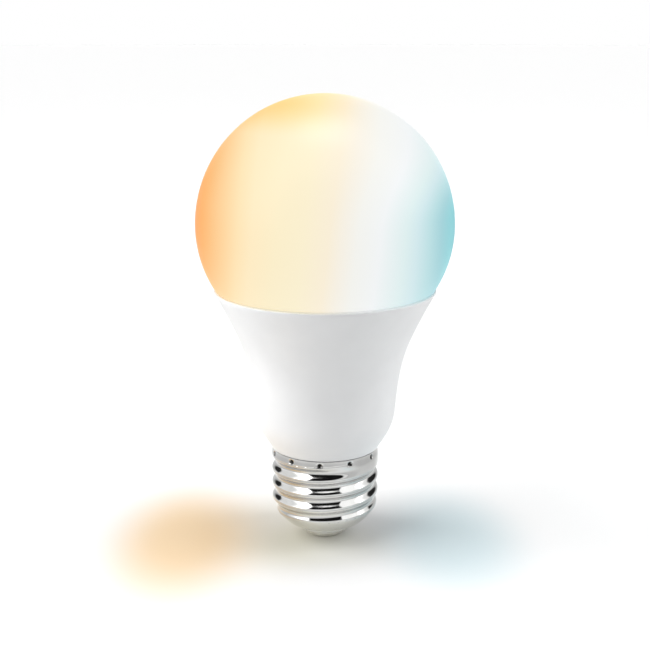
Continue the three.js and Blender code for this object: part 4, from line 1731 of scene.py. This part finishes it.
@dataclass
class Chips:
    """Moulded chips on the front of the driver board, each with two rows of bent legs."""

    board_y: float = -3.62
    leg_width: float = 0.42
    leg_thick: float = 0.16
    leg_out: float = 0.45
    foot_out: float = 0.9
    legs: dict[str, int] = field(
        default_factory=lambda: {"bridge_rectifier": 2, "controller_chip": 4, "output_diode": 2}
    )

    def build(self) -> None:
        """Makes the bodies and the legs."""
        for node, count in self.legs.items():
            low, high = node_box(node)
            body = blocks(f"{node}_body", [(low, high)], 0.18)
            keep_piece(body, PALETTE.epoxy, [node])
            pitch = (high.z - low.z) / count
            row = Copies(Layout.ROW, count, start=(0, 0, low.z + pitch / 2), offset=(0, 0, pitch))
            row.make(f"{node}_legs", self.pair(low, high), PALETTE.tin_plate)

    def pair(self, low: Vector, high: Vector) -> bpy.types.Object:
        """Makes a leg on each side of a chip, at height zero.

        Args:
            low: The chip's lowest corner.
            high: Its highest corner.

        Returns:
            The two legs.
        """
        middle = (low.y + high.y) / 2
        t, w = self.leg_thick, self.leg_width / 2
        corners = []
        for side, edge in ((-1, low.x), (1, high.x)):
            bend, tip = edge + side * self.leg_out, edge + side * self.foot_out
            spans = (
                ((edge - side * 0.2, bend), (middle - t / 2, middle + t / 2)),
                ((bend - side * t, bend), (middle - t / 2, self.board_y)),
                ((bend - side * t, tip), (self.board_y - t, self.board_y)),
            )
            for xs, ys in spans:
                corners.append(((min(xs), min(ys), -w), (max(xs), max(ys), w)))
        return blocks("legs", corners)


@dataclass
class WoundParts:
    """The choke's copper coil, and the transformer's taped winding on its bobbin."""

    wire_radius: float = 0.2
    flange: float = 0.55
    tape_sink: float = 0.35
    tape_round: float = 0.9
    window_half: float = 1.7
    window_gap: float = 0.3
    seam_gap: float = 0.02
    loop_steps: int = 6

    def build(self) -> None:
        """Winds the coil and wraps the transformer."""
        self.coil()
        low, high = node_box("transformer_winding")
        core_low, core_high = node_box("transformer_core")
        hole = (self.window_half, (core_high.y - core_low.y) / 2 + self.window_gap)
        middle = (low + high) / 2
        half = ((high.x - low.x) / 2, (high.y - low.y) / 2)
        sunk = (half[0] - self.tape_sink, half[1] - self.tape_sink)
        inner = (hole[0] + self.seam_gap, hole[1] + self.seam_gap)
        levels = (low.z + self.flange, high.z - self.flange)
        work = bmesh.new()
        self.collar(work, middle, sunk, inner, levels, self.tape_round)
        tape = from_bmesh("transformer_tape", work, 40.0)
        keep_piece(tape, PALETTE.tape, ["transformer_winding"])
        work = bmesh.new()
        flanges = ((low.z, levels[0] - self.seam_gap), (levels[1] + self.seam_gap, high.z))
        for bottom, top in flanges:
            self.collar(work, middle, half, inner, (bottom, top), 0.3)
        bobbin = from_bmesh("transformer_bobbin", work, 40.0)
        keep_piece(bobbin, PALETTE.black_nylon, [])

    def collar(
        self,
        work: bmesh.types.BMesh,
        middle: Vector,
        outer: tuple[float, float],
        hole: tuple[float, float],
        levels: tuple[float, float],
        corner: float,
    ) -> None:
        """Adds a flat ring with a rounded outside and a square hole.

        Args:
            work: The work mesh.
            middle: Its centre.
            outer: The half sizes of its outside.
            hole: The half sizes of its hole.
            levels: Its bottom and top.
            corner: The radius of its outer corners.
        """
        signs = ((1, 1), (-1, 1), (-1, -1), (1, -1))
        loops: list[list[tuple[float, float]]] = [[], []]
        for i, (sx, sy) in enumerate(signs):
            for k in range(self.loop_steps + 1):
                angle = math.pi / 2 * (i + k / self.loop_steps)
                x = middle.x + sx * (outer[0] - corner) + corner * math.cos(angle)
                y = middle.y + sy * (outer[1] - corner) + corner * math.sin(angle)
                loops[0].append((x, y))
                loops[1].append((middle.x + sx * hole[0], middle.y + sy * hole[1]))
        rings = [
            [work.verts.new((x * MM, y * MM, z * MM)) for x, y in loop]
            for loop, z in (
                (loops[0], levels[0]),
                (loops[0], levels[1]),
                (loops[1], levels[1]),
                (loops[1], levels[0]),
            )
        ]
        count = len(loops[0])
        for lower, upper in zip(rings, rings[1:] + rings[:1]):
            for k in range(count):
                n = (k + 1) % count
                work.faces.new((lower[k], lower[n], upper[n], upper[k]))

    def coil(self) -> None:
        """Winds the choke's wire along a helix."""
        low, high = node_box("choke_winding")
        centre = (low + high) / 2
        rise = high.z - low.z - 2 * self.wire_radius
        inputs = {name: "NodeSocketFloat" for name in ("Turns", "Radius", "Rise", "Wire")}
        tree, given = start_tree("wound_wire", {**inputs, "Foot": "NodeSocketVector"})
        helix = add_node(
            tree,
            "GeometryNodeCurveSpiral",
            inputs={
                "Resolution": 24,
                "Rotations": given["Turns"],
                "Start Radius": given["Radius"],
                "End Radius": given["Radius"],
                "Height": given["Rise"],
            },
        )
        section = add_node(
            tree,
            "GeometryNodeCurvePrimitiveCircle",
            inputs={"Resolution": 10, "Radius": given["Wire"]},
        )
        wire = add_node(
            tree,
            "GeometryNodeCurveToMesh",
            inputs={"Curve": helix.outputs[0], "Profile Curve": section.outputs[0], "Fill Caps": True},
        )
        moved = add_node(
            tree,
            "GeometryNodeTransform",
            inputs={"Geometry": wire.outputs[0], "Translation": given["Foot"]},
        )
        end_tree(tree, moved.outputs[0], PALETTE.copper.material())
        values = {
            "Turns": rise / (2 * self.wire_radius),
            "Radius": ((high.x - low.x) / 2 - self.wire_radius) * MM,
            "Rise": rise * MM,
            "Wire": self.wire_radius * MM,
            "Foot": [v * MM for v in (centre.x, centre.y, low.z + self.wire_radius)],
        }
        coil = run_tree("choke_coil", tree, values)
        keep_piece(coil, PALETTE.copper, ["choke_winding"])


@dataclass
class Headers:
    """Pin headers: a moulded strip with a row of square pins through it."""

    pitch: float = 2.54
    half_pin: float = 0.32
    led_pins: int = 4
    led_body_z: tuple[float, float] = (50.4, 52.9)
    radio_pins: int = 5
    radio_body_depth: float = 2.5

    def build(self) -> None:
        """Makes both headers and dresses them."""
        low, high = node_box("led_header")
        body = ((low.x, low.y, self.led_body_z[0]), (high.x, high.y, self.led_body_z[1]))
        y = (low.y + high.y) / 2
        pin = ((0, y - self.half_pin, low.z), (0, y + self.half_pin, high.z))
        self.header("led_header", body, pin, self.led_pins)
        low, high = node_box("radio_header")
        body = (tuple(low), (high.x, low.y + self.radio_body_depth, high.z))
        z = (low.z + high.z) / 2
        pin = ((0, low.y + 1, z - self.half_pin), (0, high.y, z + self.half_pin))
        self.header("radio_header", body, pin, self.radio_pins)

    def header(self, node: str, body: tuple, pin: tuple, count: int) -> None:
        """Makes one header.

        Args:
            node: The CAD node that it stands for.
            body: The strip's corners.
            pin: One pin's corners, with no width yet.
            count: How many pins it has.
        """
        strip = blocks(f"{node}_strip", [body], 0.25)
        keep_piece(strip, PALETTE.black_nylon, [node])
        low, high = pin
        corners = ((-self.half_pin, *low[1:]), (self.half_pin, *high[1:]))
        row = Copies(
            Layout.ROW,
            count,
            start=(-self.pitch * (count - 1) / 2, 0, 0),
            offset=(self.pitch, 0, 0),
        )
        row.make(f"{node}_pins", blocks("pin", [corners], 0.12), PALETTE.gold)


@dataclass
class ShieldCan:
    """The radio's stamped shield can, with rows of round vents."""

    vent_radius: float = 0.45
    vent_depth: float = 0.3
    vent_pitch: tuple[float, float] = (1.8, 2.0)
    columns: int = 5
    rows: int = 3

    def build(self) -> None:
        """Stamps the can, sinks its vents and dresses it."""
        low, high = node_box("radio_shield_can")
        can = blocks("radio_shield_can_stamped", [(low, high)], 0.35)
        middle = (low + high) / 2
        for row in range(self.rows):
            z = middle.z + (row - (self.rows - 1) / 2) * self.vent_pitch[1]
            for column in range(self.columns):
                x = middle.x + (column - (self.columns - 1) / 2) * self.vent_pitch[0]
                foot, r = high.y - self.vent_depth, self.vent_radius
                drill = revolve(
                    "drill",
                    [(0.0, 0.0), (r, 0.0), (r, 1.0), (0.0, 1.0)],
                    20,
                    centre=(x, foot, z),
                    turn=Matrix.Rotation(-math.pi / 2, 4, "X"),
                )
                cut(can, drill)
        keep_piece(can, PALETTE.tin_plate, ["radio_shield_can"])


# ------------------------------------------------------------------ CAD nodes that stay


@dataclass
class CarriedNodes:
    """CAD nodes whose shape is right already, each with its finish."""

    finishes: dict[str, Finish] = field(
        default_factory=lambda: {
            "diffuser_sealing_bead": PALETTE.silicone,
            "heat_sink_cup": PALETTE.aluminium,
            "thermal_pad": PALETTE.thermal_pad,
            "led_board": PALETTE.white_mask,
            "led_socket": PALETTE.cream_nylon,
            "insulating_sleeve": PALETTE.sleeve_nylon,
            "driver_board": PALETTE.green_mask,
            "choke_core": PALETTE.ferrite,
            "transformer_core": PALETTE.ferrite,
            "radio_board": PALETTE.blue_mask,
            "radio_antenna": PALETTE.gold,
            "live_lead": PALETTE.red_wire,
            "neutral_lead": PALETTE.white_wire,
        }
    )

    def build(self) -> None:
        """Gives every node that is still shown its material."""
        for name, finish in self.finishes.items():
            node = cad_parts[name]
            if node.hide_render:
                continue
            node.data.materials.clear()
            node.data.materials.append(finish.material())
            LOG.info("%s: %s", name, finish.name)


# ------------------------------------------------------------------ studio


@dataclass
class SoftBox:
    """A soft lamp of the studio."""

    name: str
    azimuth: float
    elevation: float
    distance: float
    width: float
    height: float
    watts: float

    def build(self, target: Vector) -> None:
        """Hangs the lamp, turned to the object.

        Args:
            target: The point that it faces.
        """
        lamp = bpy.data.lights.new(self.name, "AREA")
        lamp.shape = "RECTANGLE"
        lamp.size, lamp.size_y = self.width, self.height
        lamp.energy = self.watts
        holder = bpy.data.objects.new(self.name, lamp)
        a, e = math.radians(self.azimuth), math.radians(self.elevation)
        away = Vector((math.sin(a) * math.cos(e), -math.cos(a) * math.cos(e), math.sin(e)))
        holder.location = target + away * self.distance
        holder.rotation_euler = away.to_track_quat("Z", "Y").to_euler()
        holder.visible_camera = False
        bpy.context.scene.collection.objects.link(holder)


class Rays(Enum):
    """Which rays a panel of the room is lit for."""

    ALL = "all"
    MIRRORED = "Is Glossy Ray"


@dataclass(frozen=True)
class Panel:
    """A soft-edged patch of the room, in degrees from the front and above the horizon."""

    name: str
    azimuth: tuple[float, float]
    elevation: tuple[float, float]
    level: float
    edge: float = 4.0
    rays: Rays = Rays.ALL

    def lay_over(
        self, tree: bpy.types.NodeTree, ways: Mapping[str, object], under: object
    ) -> bpy.types.NodeSocket:
        """Lays the patch over what the room's light is so far.

        Args:
            tree: The world's tree.
            ways: The azimuth and elevation of a direction, in radians.
            under: The light so far.

        Returns:
            The light with the patch on it.
        """
        known: dict[str, object] = {"under": under, "seen": 1.0}
        if self.rays is not Rays.ALL:
            known["seen"] = add_node(tree, "ShaderNodeLightPath").outputs[self.rays.value]
        half = self.edge / 2
        for axis, (low, high) in (("azimuth", self.azimuth), ("elevation", self.elevation)):
            for side, middle, turn in (("from", low, 1.0), ("to", high, -1.0)):
                known[f"{axis}_{side}"] = ease(
                    tree,
                    ways[axis],
                    math.radians(middle - turn * half),
                    math.radians(middle + turn * half),
                )
        steps = [
            ("across", "MULTIPLY", "azimuth_from", "azimuth_to"),
            ("upright", "MULTIPLY", "elevation_from", "elevation_to"),
            ("patch", "MULTIPLY", "across", "upright"),
            ("share", "MULTIPLY", "patch", "seen"),
            ("change", "SUBTRACT", self.level, "under"),
            ("lit", "MULTIPLY_ADD", "share", "change", "under"),
        ]
        return do_sums(tree, steps, known)["lit"]


@dataclass
class Studio:
    """A pale sweep of floor, soft boxes left and right, and a camera a little above the bulb."""

    target_z: float = 0.055
    distance: float = 0.28
    elevation: float = 14.19
    lens: float = 65.0
    shift_y: float = -0.0125
    floor_radius: float = 6.0
    room_level: float = 0.6
    # painted shade: diffuse rays see the board dimmed, and darker still in an oval patch in front,
    # which shades the housing's front
    floor_scatter: float = 0.95
    front_shade: float = 1.0
    floor_far_lift: float = 0.2
    # painted light in reflections: mirror rays see the board brighter near the bulb and dimmer far off
    floor_mirrored: tuple[float, float] = (1.15, 0.62)
    floor_colour: str = "EAEAEA"
    floor_grain: float = 900.0
    far_reach: tuple[float, float] = (0.12, 0.6)
    away_reach: tuple[float, float] = (0.012, 0.09)
    boxes: tuple[SoftBox, ...] = (SoftBox("top_soft_box", 180.0, 86.0, 0.6, 0.3, 0.3, 1.95),)
    panels: tuple[Panel, ...] = (
        Panel("front_room", (-70.0, 60.0), (-95.0, 95.0), 0.06, 12.0),
        Panel("left_soft_box", (-126.0, -40.0), (5.0, 64.0), 3.35, 10.0),
        Panel("right_soft_box", (75.0, 122.0), (5.0, 64.0), 3.15, 10.0),
        Panel("right_strip", (34.0, 75.0), (8.0, 55.0), 1.45),
        Panel("front_card", (-40.0, 34.0), (10.0, 49.0), 0.01, 3.0),
        Panel("high_strip", (-40.0, 34.0), (51.0, 72.0), 1.6, 3.0, Rays.MIRRORED),
        Panel("low_strip", (-60.0, 60.0), (-2.0, 9.0), 1.05, 3.0, Rays.MIRRORED),
        Panel("left_screen", (-130.0, -70.0), (0.0, 70.0), 1.0, 30.0, Rays.MIRRORED),
        Panel("right_screen", (88.0, 130.0), (0.0, 70.0), 1.1, 24.0, Rays.MIRRORED),
        Panel("left_flag", (-172.0, -118.0), (4.0, 75.0), 0.02, 6.0),
        Panel("right_flag", (108.0, 170.0), (4.0, 75.0), 0.02, 6.0),
    )

    def build(self) -> None:
        """Sets up the floor, the surroundings, the lamps and the camera."""
        self.floor()
        self.surroundings()
        for box in self.boxes:
            box.build(Vector((0, 0, self.target_z)))
        self.camera()
        scene = bpy.context.scene
        scene.view_settings.view_transform = "Standard"
        scene.view_settings.look = "None"

    def floor(self) -> None:
        """Makes the round floor, finer near the bulb."""
        radii = [0.0, 0.05, 0.1, 0.2, 0.4, 0.8, 1.6, 3.2, self.floor_radius]
        work = bmesh.new()
        rings = [[work.verts.new((0, 0, 0))]]
        count = 96
        for r in radii[1:]:
            angles = (2 * math.pi * k / count for k in range(count))
            rings.append([work.verts.new((r * math.cos(a), r * math.sin(a), 0)) for a in angles])
        for inner, outer in zip(rings, rings[1:]):
            for k in range(count):
                n = (k + 1) % count
                around = [inner[k % len(inner)], outer[k], outer[n], inner[n % len(inner)]]
                work.faces.new(list(dict.fromkeys(around)))
        floor = from_bmesh("studio_floor", work)
        floor.data.materials.append(self.floor_material())
        if floor.data.polygons[0].normal.z < 0:
            floor.data.flip_normals()

    def floor_material(self) -> bpy.types.Material:
        """Builds white matt board with a warm and a cool pool of painted light from the globe, and a
        pool of painted shadow by the base.

        Returns:
            The material.
        """
        made = bpy.data.materials.new("white_matt_board")
        made.use_nodes = True
        tree = made.node_tree
        tree.nodes.clear()
        place = add_node(tree, "ShaderNodeTexCoord").outputs["Object"]
        colour: object = linear(self.floor_colour)
        # painted light and shadow: a warm pool, a faint warm pool and a cool pool of the globe's
        # light, and a grey pool of painted shadow by the base
        light_and_shadow_pools = (
            ((-0.035, -0.006, 0.0), (0.027, 0.05, 1.0), "F9DEB9"),
            ((-0.014, -0.002, 0.0), (0.022, 0.038, 1.0), "FDF9EF"),
            ((0.031, -0.006, 0.0), (0.026, 0.046, 1.0), "E4F3F7"),
            ((-0.002, -0.009, 0.0), (0.026, 0.021, 1.0), "ECECE5"),
        )
        for centre, spread, tint in light_and_shadow_pools:
            share = self.pool(tree, place, centre, spread)
            colour = add_node(
                tree,
                "ShaderNodeMix",
                {"data_type": "RGBA", "blend_type": "MULTIPLY"},
                {0: share, 6: colour, 7: linear(tint)},
            ).outputs[2]
        paths = add_node(tree, "ShaderNodeLightPath").outputs
        reach = add_node(tree, "ShaderNodeVectorMath", {"operation": "LENGTH"}, {0: place})
        near, far = self.floor_mirrored
        kept = self.floor_scatter
        steps = [
            # painted shade for diffuse rays: a dimmer board, darkest in the patch in front of the bulb
            ("lost", "MULTIPLY_ADD", "front", -self.front_shade * self.floor_scatter, kept - 1.0),
            ("softened", "MULTIPLY_ADD", "diffuse", "lost", 1.0),
            # painted light in reflections: brighter near the bulb, dimmer far off
            ("mirrored", "MULTIPLY_ADD", "away", far - near, near - 1.0),
            ("weighed", "MULTIPLY_ADD", "glossy", "mirrored", "softened"),
            ("seen_far", "MULTIPLY", "camera", "far"),
            ("dimmed", "MULTIPLY_ADD", "seen_far", self.floor_far_lift, "weighed"),
        ]
        known = {
            "diffuse": paths["Is Diffuse Ray"],
            "glossy": paths["Is Glossy Ray"],
            "camera": paths["Is Camera Ray"],
            "far": ease(tree, reach.outputs["Value"], *self.far_reach),
            "away": ease(tree, reach.outputs["Value"], *self.away_reach),
            # the patch of painted shade in front of the bulb, seen by diffuse rays
            "front": self.pool(tree, place, (0.02, -0.115, 0.0), (0.08, 0.1, 1.0)),
        }
        dimmed = do_sums(tree, steps, known)["dimmed"]
        colour = add_node(
            tree,
            "ShaderNodeVectorMath",
            {"operation": "SCALE"},
            {0: colour, "Scale": dimmed},
        ).outputs[0]
        grain = add_node(
            tree,
            "ShaderNodeTexNoise",
            inputs={"Vector": place, "Scale": self.floor_grain, "Detail": 2.0},
        )
        bump = add_node(
            tree,
            "ShaderNodeBump",
            inputs={"Distance": 0.00002, "Height": grain.outputs["Fac"]},
        )
        shader = add_node(
            tree,
            "ShaderNodeBsdfPrincipled",
            inputs={
                "Base Color": colour,
                "Roughness": 0.9,
                "Specular IOR Level": 0.0,
                "Normal": bump.outputs[0],
            },
        )
        add_node(tree, "ShaderNodeOutputMaterial", inputs={"Surface": shader.outputs[0]})
        return made

    def pool(
        self,
        tree: bpy.types.NodeTree,
        place: bpy.types.NodeSocket,
        centre: tuple[float, float, float],
        spread: tuple[float, float, float],
    ) -> bpy.types.NodeSocket:
        """Measures how deep a point of the floor is in an oval pool.

        Args:
            tree: The floor's tree.
            place: The point's place.
            centre: The pool's centre, in metres.
            spread: How far it reaches along each axis.

        Returns:
            1 in its middle and 0 outside it.
        """
        local = add_node(
            tree,
            "ShaderNodeMapping",
            {"vector_type": "TEXTURE"},
            {"Vector": place, "Location": centre, "Scale": spread},
        )
        far = add_node(tree, "ShaderNodeVectorMath", {"operation": "LENGTH"}, {0: local.outputs[0]})
        share = add_node(
            tree,
            "ShaderNodeMapRange",
            {"interpolation_type": "SMOOTHERSTEP"},
            {"Value": far.outputs["Value"], "From Min": 1.0, "From Max": 0.1},
        )
        return share.outputs[0]

    def surroundings(self) -> None:
        """Lights the room: white behind and beside, dim in front, dark high in front."""
        world = bpy.data.worlds.new("studio_room")
        world.use_nodes = True
        bpy.context.scene.world = world
        tree = world.node_tree
        tree.nodes.clear()
        way = add_node(tree, "ShaderNodeTexCoord").outputs["Generated"]
        apart = add_node(tree, "ShaderNodeSeparateXYZ", inputs={0: way})
        sums = do_sums(
            tree,
            [
                ("front", "MULTIPLY", "y", -1.0),
                ("azimuth", "ARCTAN2", "x", "front"),
                ("elevation", "ARCSINE", "z"),
            ],
            {"x": apart.outputs[0], "y": apart.outputs[1], "z": apart.outputs[2]},
        )
        light: object = self.room_level
        for panel in self.panels:
            light = panel.lay_over(tree, sums, light)
        room = add_node(
            tree,
            "ShaderNodeBackground",
            inputs={"Color": (1.0, 1.0, 1.0, 1.0), "Strength": light},
        )
        plain = add_node(
            tree, "ShaderNodeBackground", inputs={"Color": (1.0, 1.0, 1.0, 1.0), "Strength": 1.0}
        )
        seen = add_node(tree, "ShaderNodeLightPath").outputs["Is Camera Ray"]
        mixed = add_node(
            tree,
            "ShaderNodeMixShader",
            inputs={0: seen, 1: room.outputs[0], 2: plain.outputs[0]},
        )
        add_node(tree, "ShaderNodeOutputWorld", inputs={"Surface": mixed.outputs[0]})

    def camera(self) -> None:
        """Places the camera in front of the bulb, looking slightly down."""
        lens = bpy.data.cameras.new("studio_camera")
        lens.lens = self.lens
        lens.shift_y = self.shift_y
        lens.clip_start, lens.clip_end = 0.01, 50.0
        holder = bpy.data.objects.new("studio_camera", lens)
        tilt = math.radians(self.elevation)
        back = Vector((0.0, -math.cos(tilt), math.sin(tilt)))
        holder.location = Vector((0, 0, self.target_z)) + back * self.distance
        holder.rotation_euler = back.to_track_quat("Z", "Y").to_euler()
        bpy.context.scene.collection.objects.link(holder)
        bpy.context.scene.camera = holder


# ------------------------------------------------------------------ all together


def main() -> None:
    """Builds the studio and every sub-assembly in order."""
    logging.basicConfig(level=logging.INFO, format="%(name)s %(message)s")
    Studio().build()
    sub_assemblies = (
        DiffuserGlobe(),
        HousingShell(),
        ScrewShell(),
        BaseTip(),
        LedPackages(),
        BoardScrews(),
        CanCapacitors(),
        DippedParts(),
        Chips(),
        WoundParts(),
        Headers(),
        ShieldCan(),
        CarriedNodes(),
    )
    for part in sub_assemblies:
        part.build()
        LOG.info("%s is done", type(part).__name__)


if __name__ == "__main__":
    main()
